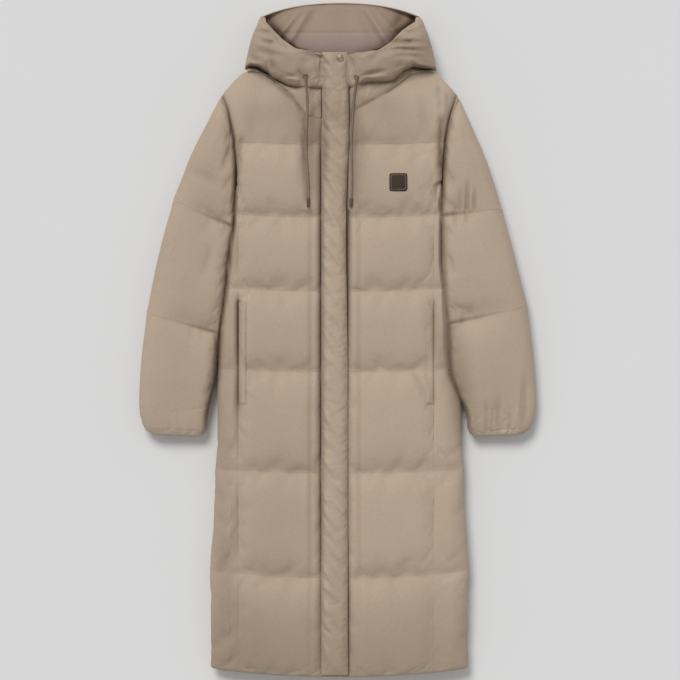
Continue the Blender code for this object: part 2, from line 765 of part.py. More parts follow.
def drawcord(side, finish, root):
    """A drawcord's free end, lying on the front, with its tip."""
    points = smooth_route(side.cord, CORD_POINTS)
    curve = bpy.data.curves.new(f"drawcord_{side.name}", "CURVE")
    curve.dimensions = "3D"
    curve.bevel_depth = CORD_RADIUS
    curve.bevel_resolution = 2
    curve.use_fill_caps = True
    spline = curve.splines.new("POLY")
    spline.points.add(len(points) - 1)
    for slot, point in zip(spline.points, points):
        slot.co = (*point, 1.0)
    curve.materials.append(finish)
    cord = bpy.data.objects.new(f"drawcord_{side.name}", curve)
    cord.parent = root
    bpy.context.collection.objects.link(cord)
    along = (points[-1] - points[-2]).normalized()
    middle = points[-1] + along * (TIP_LENGTH / 2 + GAP)
    mesh = bmesh.new()
    bmesh.ops.create_cone(
        mesh, cap_ends=True, segments=16, radius1=TIP_RADIUS * 0.8, radius2=TIP_RADIUS, depth=TIP_LENGTH
    )
    tip = add(f"cord_tip_{side.name}", mesh, finish, root)
    tip.location = middle
    tip.rotation_euler = along.to_track_quat("Z", "Y").to_euler()


def eyelet(side, finish, root):
    """The metal ring that a drawcord comes out of."""
    mesh = bmesh.new()
    profile = [(EYELET_HOLE, 0.0), (EYELET_RADIUS, 0.0), (EYELET_RADIUS, EYELET_DEPTH * 0.6)]
    profile += [(EYELET_RADIUS * 0.8, EYELET_DEPTH), (EYELET_HOLE, EYELET_DEPTH * 0.8)]
    corners = [mesh.verts.new((radius, 0.0, height)) for radius, height in profile]
    face = mesh.faces.new(corners)
    bmesh.ops.spin(mesh, geom=[face], angle=math.tau, steps=20, axis=(0, 0, 1), cent=(0, 0, 0), use_merge=True)
    inner_faces = [one for one in mesh.faces if len(one.verts) == len(profile)]
    bmesh.ops.delete(mesh, geom=inner_faces, context="FACES_ONLY")
    bmesh.ops.remove_doubles(mesh, verts=mesh.verts, dist=1e-6)
    bmesh.ops.recalc_face_normals(mesh, faces=mesh.faces)
    ring = add(f"eyelet_{side.name}", mesh, finish, root)
    ring.location = side.eyelet
    ring.rotation_euler = Vector(side.eyelet_up).to_track_quat("Z", "Y").to_euler()


def press_stud(finish, root):
    """The press stud at the top of the storm flap."""
    mesh = bmesh.new()
    bmesh.ops.create_cone(
        mesh, cap_ends=True, segments=24, radius1=STUD_RADIUS, radius2=STUD_RADIUS * 0.75, depth=STUD_DEPTH
    )
    stud = add("press_stud", mesh, finish, root)
    stud.location = (*STUD_MIDDLE, flap_top(STUD_MIDDLE[1]) + STUD_DEPTH / 2 + GAP)


def main():
    """Build the whole coat."""
    for leftover in list(bpy.data.objects):
        bpy.data.objects.remove(leftover)
    root = bpy.data.objects.new("coat", None)
    bpy.context.collection.objects.link(root)
    shell = material("shell", (0.40, 0.32, 0.25), 0.7)
    lining = material("lining", (0.36, 0.27, 0.22), 0.7)
    cord = material("cord", (0.20, 0.15, 0.11), 0.8)
    metal = material("metal", (0.25, 0.20, 0.16), 0.4, 1.0)
    thread = material("thread", (0.05, 0.03, 0.02), 0.8)
    back(shell, root)
    for side, rings in ((LEFT, LEFT_RINGS), (RIGHT, RIGHT_RINGS)):
        front(side, shell, root)
        side_panel(side, shell, root)
        sleeve(side, rings, shell, root)
        cuff(side, rings, shell, root)
        hood_side(side, shell, root)
        collar(side, shell, root)
        welt(side, shell, root)
        eyelet(side, metal, root)
        drawcord(side, cord, root)
    hood_centre(shell, root)
    hood_lining(lining, root)
    storm_flap(shell, root)
    closed_zip(cord, root)
    press_stud(metal, root)
    patch(thread, root)


main()
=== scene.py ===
"""The looks of a long hooded puffer coat, laid out flat on its back.

Metres, +Z up, +Y towards the hood. "Half" is a distance from the coat's centre line, the same on both sides.
Every padded piece starts as a grid of points on the pattern's own form. Its filling swells it between the
stitched lines, and it is then closed over its inner face.
"""

import json
import logging
import math
from collections.abc import Callable
from dataclasses import dataclass, field
from enum import Enum
from typing import NamedTuple

import bpy
import numpy as np
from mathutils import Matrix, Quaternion, Vector
from mathutils.bvhtree import BVHTree

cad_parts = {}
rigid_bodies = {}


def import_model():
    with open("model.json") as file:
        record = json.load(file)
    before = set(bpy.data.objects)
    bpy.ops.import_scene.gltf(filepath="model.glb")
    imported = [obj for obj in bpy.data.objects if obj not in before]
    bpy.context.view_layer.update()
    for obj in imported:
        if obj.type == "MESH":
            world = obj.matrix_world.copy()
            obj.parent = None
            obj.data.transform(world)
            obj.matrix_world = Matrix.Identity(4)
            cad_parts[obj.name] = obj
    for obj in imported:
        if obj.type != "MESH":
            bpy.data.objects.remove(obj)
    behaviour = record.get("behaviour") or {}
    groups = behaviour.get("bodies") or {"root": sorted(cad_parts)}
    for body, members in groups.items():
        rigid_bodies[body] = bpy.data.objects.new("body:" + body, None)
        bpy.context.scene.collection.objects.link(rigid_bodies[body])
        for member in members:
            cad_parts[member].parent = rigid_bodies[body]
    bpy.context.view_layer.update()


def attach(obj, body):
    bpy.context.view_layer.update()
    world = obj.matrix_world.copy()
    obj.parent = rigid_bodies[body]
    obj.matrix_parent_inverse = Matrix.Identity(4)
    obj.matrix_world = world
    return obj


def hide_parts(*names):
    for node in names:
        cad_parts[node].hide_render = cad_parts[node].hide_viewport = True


log = logging.getLogger("coat")

BODY = "root"
GAP = 0.0001  # between pieces that meet
ZIP_X = 0.004  # centre line of the body
HOOD_X = 0.006  # centre line of the hood
BACK_TOP = 0.026  # top of the padded back layer
CREST = 0.058  # top of a channel's middle
CREST_START = 0.0535  # the same before the filling swells it
STITCH_TOP = 0.042  # top along a stitched line
UNDER_SLEEVE = 0.0305  # top of the body where a sleeve presses it flat
MIDDLE = 0.029  # height of the side edge's widest line
GROOVE = 0.006  # how far a stitched line lifts the underside
SLIT = 0.0006  # between the two layers of one folded piece
FLOOR = 0.0004  # lowest point of the underside
CORD_RADIUS = 0.00225
CREASE_SHADE = 55.0  # how much painted shade darkens the cloth in a crease, per metre of its depth
HEM = 0.004  # how far the hem's soft edge bulges
DOWN = (0.0, -1.0, 0.0)  # towards the hem

Number = float | np.ndarray
Socket = bpy.types.NodeSocket


# ---- curves and grids


def lerp(low: Number, high: Number, share: Number) -> Number:
    """Return the value a share of the way from low to high."""
    return low + (high - low) * share


def ramp(distance: Number, full: float) -> np.ndarray:
    """Return the share that a distance has of the full distance, from 0 to 1."""
    return np.clip(distance / full, 0.0, 1.0)


def bell(away: Number, width: float) -> np.ndarray:
    """Return a soft fall from 1 with the distance."""
    return np.exp(-((away / width) ** 2))


def spaced(count: int, crowd: float = 0.55) -> np.ndarray:
    """Return count + 1 shares from 0 to 1 that crowd together, from not at all to 1, at both ends."""
    even = np.linspace(0.0, 1.0, count + 1)
    return even - crowd * np.sin(2 * np.pi * even) / (2 * np.pi)


def flow(table: np.ndarray, at: Number, column: int = 1) -> np.ndarray:
    """Read a table smoothly along its first column.

    Args:
        table: rows of numbers, the first column rising.
        at: where to read it.
        column: which column to read.

    Returns:
        The values there, held constant past both ends.
    """
    xs, ys = table[:, 0], table[:, column]
    steps = np.diff(xs)
    rates = np.diff(ys) / steps
    inner = (rates[1:] * steps[:-1] + rates[:-1] * steps[1:]) / (steps[1:] + steps[:-1])
    slopes = np.concatenate([[rates[0]], inner, [rates[-1]]])
    at = np.clip(at, xs[0], xs[-1])
    low = np.clip(np.searchsorted(xs, at, side="right") - 1, 0, len(xs) - 2)
    width = steps[low]
    t = (at - xs[low]) / width
    a, b = ys[low], ys[low + 1]
    turn = (b - a) * 3 - (2 * slopes[low] + slopes[low + 1]) * width
    bend = (a - b) * 2 + (slopes[low] + slopes[low + 1]) * width
    return a + slopes[low] * width * t + turn * t**2 + bend * t**3


def counted(rows: tuple) -> np.ndarray:
    """Return a table with its row numbers as a new first column."""
    return np.array([(number, *row) for number, row in enumerate(rows)], dtype=float)


def puff(share: Number) -> np.ndarray:
    """Return the rise of the padding across a channel, 0 on its stitched lines and 1 in its middle."""
    return np.maximum(1.0 - np.abs(2.0 * np.clip(share, 0.0, 1.0) - 1.0) ** 2.2, 0.0) ** 0.6


def rounded(distance: Number, full: float) -> np.ndarray:
    """Return the rise of the padding at a distance from a seam, 1 from the full distance on."""
    return 1.0 - (1.0 - ramp(distance, full)) ** 2.4


def settled(top: Number, low: Number, from_seam: Number, full: float) -> np.ndarray:
    """Return heights that come down beside a seam to the seam's own height."""
    return top - np.maximum(top - low, 0.0) * (1.0 - rounded(from_seam, full))


def raised(points: np.ndarray, height: Number) -> np.ndarray:
    """Return a grid's points moved to one height, or each to its own."""
    return grid_of(points[..., 0], points[..., 1], height)


def grid_of(x: Number, y: Number, z: Number) -> np.ndarray:
    """Return points from coordinates that may each be a number, a row, a column or a grid."""
    return np.stack(np.broadcast_arrays(x, y, z), axis=-1)


def joined(*parts: np.ndarray) -> np.ndarray:
    """Return grids side by side as one."""
    return np.concatenate(parts, axis=1)


def lengths(points: np.ndarray, axis: int) -> np.ndarray:
    """Return how far each point of a grid lies along its row or column."""
    run = np.cumsum(np.linalg.norm(np.diff(points, axis=axis), axis=2), axis=axis)
    return np.concatenate([0.0 * np.take(run, [0], axis=axis), run], axis=axis)


def run_along(line: np.ndarray) -> np.ndarray:
    """Return how far each point of a line lies along it."""
    return lengths(line[None], 1)[0]


def read(table: np.ndarray, run: np.ndarray, at: Number) -> np.ndarray:
    """Return a table's rows at places between its own rows, whose places are its run."""
    return np.stack([np.interp(at, run, column) for column in table.T], axis=-1)


def smooth_route(points: tuple, step: float) -> np.ndarray:
    """Draw a smooth curve through a route's own points.

    Args:
        points: the route.
        step: distance between the curve's points.

    Returns:
        The curve's points.
    """
    route = np.array(points)
    padded = np.concatenate([route[:1], route, route[-1:]])
    dense = []
    for a, b, c, d in zip(padded, padded[1:], padded[2:], padded[3:]):
        for t in np.linspace(0.0, 1.0, 12, endpoint=False):
            bend = (2 * a - 5 * b + 4 * c - d) * t * t + (3 * b - a - 3 * c + d) * t**3
            dense.append(0.5 * (2 * b + (c - a) * t + bend))
    dense = np.array([*dense, route[-1]])
    run = run_along(dense)
    return read(dense, run, np.linspace(0.0, run[-1], max(2, round(run[-1] / step)) + 1))


def near_line(points: np.ndarray, line: np.ndarray, width: float, above: float) -> tuple:
    """Find the points that lie beside a line in plan.

    Args:
        points: the points, as one long list.
        line: the line's points, which start with their x and y.
        width: points further off than about three times this don't count.
        above: points lower than this don't count.

    Returns:
        The found points' numbers, the line's point nearest to each, and how far away it is.
    """
    low, high = line[:, :2].min(axis=0) - 3 * width, line[:, :2].max(axis=0) + 3 * width
    plan = points[:, :2]
    near = np.flatnonzero(((plan > low) & (plan < high)).all(axis=1) & (points[:, 2] > above))
    away = np.linalg.norm(plan[near, None] - line[None, :, :2], axis=-1)
    nearest = away.argmin(axis=1)
    return near, line[nearest], away[np.arange(len(near)), nearest]


def rolled(border: np.ndarray, inner: np.ndarray, away: Number, reach: float) -> list:
    """Return the rows that carry a border round to the inner face in an edge that bulges by the reach."""
    turns = np.pi * 0.86 * np.linspace(0.0, 1.0, 6)[1:]
    return [lerp(border, inner, (1 - math.cos(turn)) / 2) + away * reach * math.sin(turn) for turn in turns]


def with_hem(points: np.ndarray, inner: np.ndarray, away: Number, reach: float, first: bool = True) -> tuple:
    """Add the rows that roll a hem round to the inner face.

    Args:
        points: grid of the outer cloth.
        inner: grid of the inner face.
        away: direction out of the hem.
        reach: how far it bulges.
        first: whether the hem is the first row, or else the last.

    Returns:
        The two longer grids and the number of rows added.
    """
    row, away = (0 if first else -1), np.asarray(away, dtype=float)
    rolls = rolled(points[row], inner[row], away, reach)
    count = len(rolls)
    insides = [inner[row] + away * reach * 0.4 * (number + 1) / count for number in range(count)]
    if first:
        return np.stack([*rolls[::-1], *points]), np.stack([*insides[::-1], *inner]), count
    return np.stack([*points, *rolls]), np.stack([*inner, *insides]), count


def with_side_hem(points: np.ndarray, inner: np.ndarray, *hem) -> tuple:
    """Add the columns that roll a side's hem round, as with_hem adds rows."""
    outer, inner, added = with_hem(np.swapaxes(points, 0, 1), np.swapaxes(inner, 0, 1), *hem)
    return np.swapaxes(outer, 0, 1), np.swapaxes(inner, 0, 1), added


def body_hem(points: np.ndarray, inner: np.ndarray, place: np.ndarray) -> tuple:
    """Roll the body's hem and hold the seams and stitched lines.

    Args:
        points: grid of the outer cloth, from the hem up.
        inner: grid of the inner face.
        place: the rows' places on the body.

    Returns:
        The two longer grids, where the cloth is held, and the stitched rows.
    """
    points, inner, added = with_hem(points, inner, DOWN, HEM)
    stitched = [row + added for row, at in enumerate(place[:, 0]) if abs(at - round(at)) < 1e-6]
    held = np.zeros(points.shape[:2])
    held[: added + 1] = held[stitched] = held[-1] = 1.0
    held[:, 0] = held[:, -1] = 1.0
    return points, inner, held, tuple(stitched)


# ---- the pattern


class Quilt(NamedTuple):
    """One stitched line across the body."""

    side: float  # y at the side edge
    zip: float  # y at the centre


class Edge(NamedTuple):
    """Half width of the body: the side edge up to the underarm, then the armhole."""

    y: float
    half: float


class Neck(NamedTuple):
    """Top edge of a front: round the neck, then down the shoulder."""

    half: float
    y: float
    top: float


class Ring(NamedTuple):
    """One ring of a sleeve, flattened: its two ends in plan, and its heights."""

    inner: float
    inner_y: float
    outer: float
    outer_y: float
    crest: float  # top of the padding
    tip: float  # top at the inner end


class HoodRow(NamedTuple):
    """One row of a hood side, from its front end round the side edge to the centre panel."""

    front: float
    front_y: float
    side: float
    side_y: float
    back_y: float
    crest: float


@dataclass(frozen=True)
class Half:
    """What differs from one side of the coat to the other."""

    name: str
    sign: int
    princess: float  # half at the front's lengthways seam
    flap: float  # half that the storm flap covers
    eyelet: tuple  # middle of the drawcord's eyelet
    eyelet_up: tuple  # the direction it faces
    cord: tuple  # route of the drawcord
    rings: tuple  # of the sleeve
    hood_edge: tuple  # half, y and painted shade along the hood's lower edge
    neckline: tuple  # from the flap round the neck, and down the shoulder
    seam_tops: tuple  # height along the front's lengthways seam, deeper beside the pocket
    sleeve_painted_shade: tuple  # painted shade along the sleeve's inner edge, ring by ring
    rim_inset: float  # share by which the mouth is narrower on this side
    mouth_painted_shade: tuple  # painted shade inside the mouth's rim, from its front to the crown

    def sleeve_edge(self, y: Number) -> np.ndarray:
        """Return the half at the sleeve's inner edge."""
        table = np.array([(ring.inner_y, ring.inner) for ring in reversed(self.rings)])
        return np.interp(y, *table.T)

    def x(self, half: Number) -> Number:
        """Return x on the body at a half of this side."""
        return ZIP_X + self.sign * half


LEFT_CORD = (  # x, y and z of each point
    (-0.062, 0.508, 0.0656), (-0.0618, 0.501, 0.0626), (-0.0612, 0.492, 0.0586), (-0.0602, 0.48, 0.0563),
    (-0.0592, 0.47, 0.0546), (-0.059, 0.46, 0.0524), (-0.0588, 0.45, 0.0517), (-0.059, 0.44, 0.0538),
    (-0.0594, 0.425, 0.0568), (-0.06, 0.41, 0.0571), (-0.0606, 0.395, 0.0561), (-0.061, 0.382, 0.0536),
    (-0.061, 0.37, 0.0536), (-0.0605, 0.355, 0.0558), (-0.0594, 0.34, 0.0571), (-0.058, 0.324, 0.0581),
    (-0.0572, 0.312, 0.0586), (-0.0564, 0.298, 0.0585), (-0.056, 0.285, 0.058), (-0.0562, 0.272, 0.0575),
)
RIGHT_CORD = (  # x, y and z of each point
    (0.037, 0.506, 0.0672), (0.0366, 0.499, 0.0644), (0.0354, 0.49, 0.0592), (0.0336, 0.478, 0.054),
    (0.0322, 0.466, 0.0506), (0.031, 0.455, 0.0491), (0.03, 0.444, 0.0477), (0.0292, 0.43, 0.0481),
    (0.0284, 0.415, 0.0489), (0.0276, 0.4, 0.0494), (0.0272, 0.388, 0.0491), (0.027, 0.38, 0.0483),
    (0.027, 0.37, 0.049), (0.0272, 0.355, 0.0517), (0.0274, 0.34, 0.0523), (0.0277, 0.324, 0.0532),
    (0.0278, 0.31, 0.0539), (0.0276, 0.296, 0.0537), (0.0272, 0.284, 0.0535), (0.0268, 0.272, 0.0531),
)
LEFT_RINGS = (
    Ring(0.2275, 0.4695, 0.2395, 0.462, 0.036, 0.034), Ring(0.217, 0.437, 0.261, 0.422, 0.052, 0.042),
    Ring(0.206, 0.385, 0.291, 0.364, 0.056, 0.036), Ring(0.202, 0.325, 0.31, 0.317, 0.056, 0.036),
    Ring(0.206, 0.219, 0.328, 0.268, 0.056, 0.034), Ring(0.216, 0.149, 0.351, 0.188, 0.056, 0.03),
    Ring(0.224, 0.075, 0.369, 0.108, 0.055, 0.03), Ring(0.234, 0.011, 0.379, 0.05, 0.054, 0.03),
    Ring(0.24, -0.071, 0.391, -0.042, 0.052, 0.03), Ring(0.256, -0.143, 0.394, -0.132, 0.044, 0.03),
    Ring(0.26, -0.186, 0.382, -0.183, 0.036, 0.029),
)
RIGHT_RINGS = (
    Ring(0.2275, 0.4695, 0.2395, 0.462, 0.036, 0.034), Ring(0.217, 0.437, 0.258, 0.422, 0.052, 0.042),
    Ring(0.206, 0.385, 0.284, 0.364, 0.056, 0.036), Ring(0.202, 0.325, 0.303, 0.312, 0.056, 0.036),
    Ring(0.199, 0.241, 0.3205, 0.252, 0.056, 0.034), Ring(0.199, 0.149, 0.339, 0.188, 0.056, 0.03),
    Ring(0.205, 0.081, 0.359, 0.108, 0.055, 0.03), Ring(0.212, 0.03, 0.3695, 0.063, 0.054, 0.03),
    Ring(0.216, -0.069, 0.383, -0.042, 0.052, 0.03), Ring(0.2455, -0.141, 0.386, -0.132, 0.044, 0.03),
    Ring(0.252, -0.186, 0.374, -0.183, 0.036, 0.029),
)
LEFT_HOOD_EDGE = (  # half, y and painted shade
    (0.009, 0.482, 0.3), (0.045, 0.486, 0.4), (0.075, 0.489, 0.55), (0.087, 0.4875, 0.8),
    (0.1045, 0.492, 0.8), (0.118, 0.5, 0.75), (0.134, 0.506, 0.85), (0.1415, 0.516, 0.9),
    (0.161, 0.528, 0.95), (0.176, 0.53, 0.95), (0.19, 0.524, 0.8),
)
RIGHT_HOOD_EDGE = (  # half, y and painted shade
    (0.009, 0.484, 0.3), (0.038, 0.495, 0.5), (0.057, 0.4975, 0.65), (0.087, 0.498, 0.65),
    (0.106, 0.502, 0.55), (0.111, 0.51, 0.4), (0.126, 0.522, 0.45), (0.141, 0.528, 0.8),
    (0.165, 0.525, 0.9), (0.19, 0.521, 0.8),
)
SHOULDER = (
    Neck(0.16, 0.5195, 0.03), Neck(0.176, 0.521, 0.03), Neck(0.188, 0.517, 0.03),
    Neck(0.197, 0.509, 0.031), Neck(0.213, 0.492, 0.034), Neck(0.231, 0.471, 0.034),
)
LEFT_NECK = (
    Neck(0.0355, 0.429, 0.041), Neck(0.052, 0.431, 0.041), Neck(0.0674, 0.439, 0.041),
    Neck(0.083, 0.459, 0.04), Neck(0.099, 0.478, 0.038), Neck(0.116, 0.494, 0.036),
    Neck(0.1317, 0.505, 0.034), Neck(0.145, 0.5135, 0.032), *SHOULDER,
)
RIGHT_NECK = (
    Neck(0.016, 0.438, 0.041), Neck(0.034, 0.4456, 0.041), Neck(0.056, 0.4575, 0.041),
    Neck(0.079, 0.471, 0.04), Neck(0.104, 0.4865, 0.038), Neck(0.118, 0.498, 0.036),
    Neck(0.13, 0.508, 0.034), Neck(0.143, 0.516, 0.032), *SHOULDER,
)
LEFT_SEAM_TOPS = (  # y and height
    (-0.660, 0.048), (-0.160, 0.047), (-0.125, 0.038), (0.066, 0.038), (0.095, 0.049), (0.250, 0.050),
    (0.320, 0.038), (0.471, 0.034),
)
RIGHT_SEAM_TOPS = (  # y and height
    (-0.660, 0.0505), (-0.160, 0.050), (-0.125, 0.046), (0.066, 0.045), (0.095, 0.050), (0.250, 0.050),
    (0.320, 0.038), (0.471, 0.034),
)
# each side ends with the painted shade along its sleeve's inner edge, the mouth's rim inset, and the painted
# shade inside the mouth's rim
LEFT = Half("left", -1, 0.197, 0.0355, (-0.062, 0.508, 0.0609), (0.04, -0.465, 0.884), LEFT_CORD, LEFT_RINGS,
            LEFT_HOOD_EDGE, LEFT_NECK, LEFT_SEAM_TOPS,
            (0.3, 0.5, 0.7, 0.9, 0.9, 0.9, 0.9, 0.9, 0.9, 0.8, 0.5), 0.0, (0.1, 0.12, 0.2, 0.9, 0.65, 0.6))
RIGHT = Half("right", 1, 0.183, 0.016, (0.037, 0.506, 0.0613), (-0.37, -0.25, 0.90), RIGHT_CORD, RIGHT_RINGS,
             RIGHT_HOOD_EDGE, RIGHT_NECK, RIGHT_SEAM_TOPS,
             (0.3, 0.5, 0.7, 0.75, 0.6, 0.4, 0.4, 0.6, 0.75, 0.75, 0.5), 0.085, (0.3, 0.5, 0.6, 1.0, 1.0, 1.0))
SIDES = (LEFT, RIGHT)


@dataclass(frozen=True)
class Pattern:
    """The coat's pattern: where its seams and stitched lines lie."""

    hem_half: float = 0.257
    edge_depth: float = 0.034
    side_top_y: float = 0.305  # the side panels end here, at the armholes
    armhole_place: float = 5.447
    inset: float = 0.003  # room that the filling takes up at a side edge
    quilts: tuple = (
        Quilt(-0.638, -0.656), Quilt(-0.449, -0.465), Quilt(-0.251, -0.261), Quilt(-0.056, -0.064),
        Quilt(0.102, 0.092), Quilt(0.246, 0.236), Quilt(0.386, 0.378),
    )
    edges: tuple = (
        Edge(-0.66, 0.254), Edge(-0.52, 0.257), Edge(-0.42, 0.255), Edge(-0.33, 0.251),
        Edge(-0.25, 0.245), Edge(-0.06, 0.24), Edge(0.09, 0.236), Edge(0.24, 0.229),
        Edge(0.275, 0.212), Edge(0.31, 0.2), Edge(0.36, 0.204), Edge(0.471, 0.231),
    )
    valley: float = 0.012  # width of the roll down to the sleeve

    def line_y(self, number: np.ndarray, half: Number) -> np.ndarray:
        """Return y on a stitched line, which droops towards the centre."""
        table = np.array(self.quilts)
        return lerp(table[number, 1], table[number, 0], (half / self.hem_half) ** 2)

    def place_y(self, place: np.ndarray, half: Number) -> np.ndarray:
        """Return y at a place on the body, which counts the stitched lines upwards from the hem's 0."""
        low = np.clip(np.floor(place).astype(int), 0, len(self.quilts) - 2)
        return lerp(self.line_y(low, half), self.line_y(low + 1, half), place - low)

    def places(self, rows: int, last: float = 6.0) -> np.ndarray:
        """Return the places of the grid's rows up to the last one, crowded beside the stitched lines."""
        every = np.array([channel + share for channel in range(6) for share in spaced(rows)[:-1]])
        return np.append(every[every < last - 0.01], last)[:, None]

    def crest(self, place: np.ndarray) -> np.ndarray:
        """Return how high a channel's middle starts, lower towards the hem."""
        return CREST_START - 0.009 * np.clip(1.0 - place, 0.0, 1.0) ** 1.5

    def edge(self, y: Number) -> np.ndarray:
        """Return the half width of the body."""
        return flow(np.array(self.edges), y)

    def princess(self, side: Half, y: Number) -> np.ndarray:
        """Return the half at a front's lengthways seam, which curves into the armhole."""
        return lerp(side.princess, 0.2, np.minimum(1.0, np.maximum(0.0, (y - 0.20) / 0.15) ** 2))

    def back_seam(self, y: Number) -> np.ndarray:
        """Return the half at the back's lengthways seam."""
        return lerp(0.165, 0.2, ramp(y - 0.1, 0.25) ** 2)

    def border(self, seam: np.ndarray, y: np.ndarray) -> np.ndarray:
        """Return the half at the outer border of a front or the back: its seam, then the armhole."""
        return np.where(y < self.side_top_y, seam, self.edge(y)) - GAP / 2

    def edge_round(self, side: Half, y: Number) -> np.ndarray:
        """Return the depth of the round side edge, which narrows with the side panel."""
        return np.clip(0.7 * (self.edge(y) - self.princess(side, y)), 0.001, self.edge_depth)

    def seam_top(self, side: Half, y: Number) -> np.ndarray:
        """Return the height along a front's lengthways seam."""
        return np.interp(y, *np.array(side.seam_tops).T)

    def neck_top(self, half: Number) -> np.ndarray:
        """Return the height along the seam of collar and hood, lower towards the shoulder."""
        return lerp(0.044, 0.030, ramp(half - 0.09, 0.06))

    def pressed(self, side: Half, half: Number, y: Number, top: Number) -> np.ndarray:
        """Return heights rolled down beside the sleeve and pressed flat under it."""
        near = np.clip(1.0 + (half - side.sleeve_edge(y)) / self.valley, 0.0, 1.0)
        return np.minimum(top, CREST - (CREST - UNDER_SLEEVE) * near**2 * ramp(y + 0.19, 0.05))

    def edge_top(self, depth: Number, round_depth: Number) -> np.ndarray:
        """Return the height of the body's outline at a depth in from its side edge."""
        share = ramp(depth, round_depth)
        return MIDDLE + (CREST - MIDDLE) * np.sqrt(1.0 - (1.0 - share) ** 2)


PATTERN = Pattern()


# ---- finishes


def times(colour: tuple, factor: float) -> tuple:
    """Return a lighter or darker colour."""
    return tuple(min(1.0, value * factor) for value in colour)


class Nodes:
    """Adds nodes to one material."""

    def __init__(self, name: str) -> None:
        """Start the material.

        Args:
            name: its name.
        """
        self.material = bpy.data.materials.new(name)
        self.material.use_nodes = True
        self.tree = self.material.node_tree
        self.shader = self.tree.nodes["Principled BSDF"]

    def add(self, kind: str, inputs: dict | None = None, **settings) -> bpy.types.Node:
        """Add a node.

        Args:
            kind: its type's name, without its ShaderNode prefix.
            inputs: values or output sockets by input name or number.
            settings: attributes of the node.

        Returns:
            The node.
        """
        node = self.tree.nodes.new(f"ShaderNode{kind}")
        for name, value in settings.items():
            setattr(node, name, value)
        self.feed(node, inputs or {})
        return node

    def feed(self, node: bpy.types.Node, inputs: dict) -> None:
        """Set or link a node's inputs.

        Args:
            node: the node.
            inputs: values or output sockets by input name or number.
        """
        for name, value in inputs.items():
            if isinstance(value, Socket):
                self.tree.links.new(value, node.inputs[name])
            else:
                node.inputs[name].default_value = value

    def noise(self, where: Socket, scale: float, detail: float = 3.0, **more) -> Socket:
        """Return the value of a noise texture."""
        return self.add("TexNoise", {"Vector": where, "Scale": scale, "Detail": detail, **more}).outputs["Fac"]

    def ranged(self, value: Socket, *ranges: float) -> Socket:
        """Return a value mapped from one range to another, each given by its low and high end."""
        return self.add("MapRange", {"Value": value, **dict(enumerate(ranges, 1))}).outputs["Result"]

    def mix(self, share: Socket, *colours: tuple | Socket) -> Socket:
        """Return a colour between two."""
        ends = (colour if isinstance(colour, Socket) else (*colour, 1.0) for colour in colours)
        return self.add("Mix", {"Factor": share, **dict(zip("AB", ends))}, data_type="RGBA").outputs["Result"]

    def bump(self, height: Socket, distance: float, strength: float, **more) -> Socket:
        """Return a normal that follows a height."""
        inputs = {"Height": height, "Distance": distance, "Strength": strength, **more}
        return self.add("Bump", inputs).outputs["Normal"]


@dataclass(frozen=True)
class ClothFinish:
    """A plain woven cloth."""

    name: str
    colour: tuple
    roughness: float = 0.66
    sheen: float = 0.12
    shade: float = 0.06  # how much its colour varies
    thread: float = 0.0007
    crinkle: float = 0.14
    deep: tuple = (0.20, 0.13, 0.065)  # share of its colour left under the strongest painted shade, in the deepest creases
    band: tuple | None = None  # a second colour below the band's line
    band_y: float = 0.594

    def make(self) -> bpy.types.Material:
        """Make the material.

        Returns:
            The material.
        """
        nodes = Nodes(self.name)
        where = nodes.add("TexCoord")
        broad = nodes.noise(where.outputs["Object"], 7.0, 4.0)
        fine = nodes.noise(where.outputs["Object"], 260.0, 2.0)
        mottled = nodes.add("Math", {0: broad, 1: fine}, operation="ADD").outputs[0]
        share = nodes.ranged(mottled, 0.7, 1.3, 0.0, 1.0)
        tint = nodes.mix(share, times(self.colour, 1.0 - self.shade), times(self.colour, 1.0 + self.shade))
        if self.band:
            along = nodes.add("SeparateXYZ", {"Vector": where.outputs["Object"]}).outputs["Y"]
            above = nodes.ranged(along, self.band_y - 0.011, self.band_y + 0.011, 0.0, 1.0)
            tint = nodes.mix(above, self.band, tint)
        # painted shade: the shade attribute darkens the colour towards the deep share in creases and deep
        # lines
        painted_shade = nodes.add("Attribute", attribute_name="shade").outputs["Fac"]
        below = tuple(value * left for value, left in zip(self.colour, self.deep))
        tint = nodes.mix(painted_shade, tint, below)
        roughness = nodes.ranged(broad, 0.3, 0.7, self.roughness - 0.05, self.roughness + 0.05)
        wave = {"Vector": where.outputs["UV"], "Scale": 1.0 / self.thread / 2.0 / 10.0}
        warp, weft = (nodes.add("TexWave", wave, bands_direction=way).outputs["Fac"] for way in ("X", "Y"))
        weave = nodes.add("Math", {0: warp, 1: weft}, operation="MULTIPLY").outputs[0]
        crinkle = nodes.noise(where.outputs["Object"], 28.0, 3.0, Distortion=0.5)
        creped = nodes.bump(crinkle, 0.004, self.crinkle)
        inputs = {
            "Base Color": tint,
            "Roughness": roughness,
            "Normal": nodes.bump(weave, 0.0001, 0.3, Normal=creped),
            "Sheen Weight": self.sheen,
            "Sheen Roughness": 0.45,
            "Specular IOR Level": 0.3,
        }
        nodes.feed(nodes.shader, inputs)
        return nodes.material


@dataclass(frozen=True)
class ThreadFinish:
    """Sewing thread, braid or tape."""

    name: str
    colour: tuple
    roughness: float = 0.75
    strand: float = 0.0009

    def make(self) -> bpy.types.Material:
        """Make the material.

        Returns:
            The material.
        """
        nodes = Nodes(self.name)
        where = nodes.add("TexCoord").outputs["Object"]
        worn = nodes.noise(where, 400.0, 3.0)
        share = nodes.ranged(worn, 0.35, 0.65, 0.0, 1.0)
        tint = nodes.mix(share, times(self.colour, 0.8), times(self.colour, 1.15))
        strands = nodes.noise(where, 1.0 / self.strand, 2.0)
        inputs = {
            "Base Color": tint,
            "Roughness": nodes.ranged(worn, 0.3, 0.7, self.roughness - 0.06, self.roughness + 0.06),
            "Normal": nodes.bump(strands, self.strand / 3, 0.5),
            "Sheen Weight": 0.1,
        }
        nodes.feed(nodes.shader, inputs)
        return nodes.material


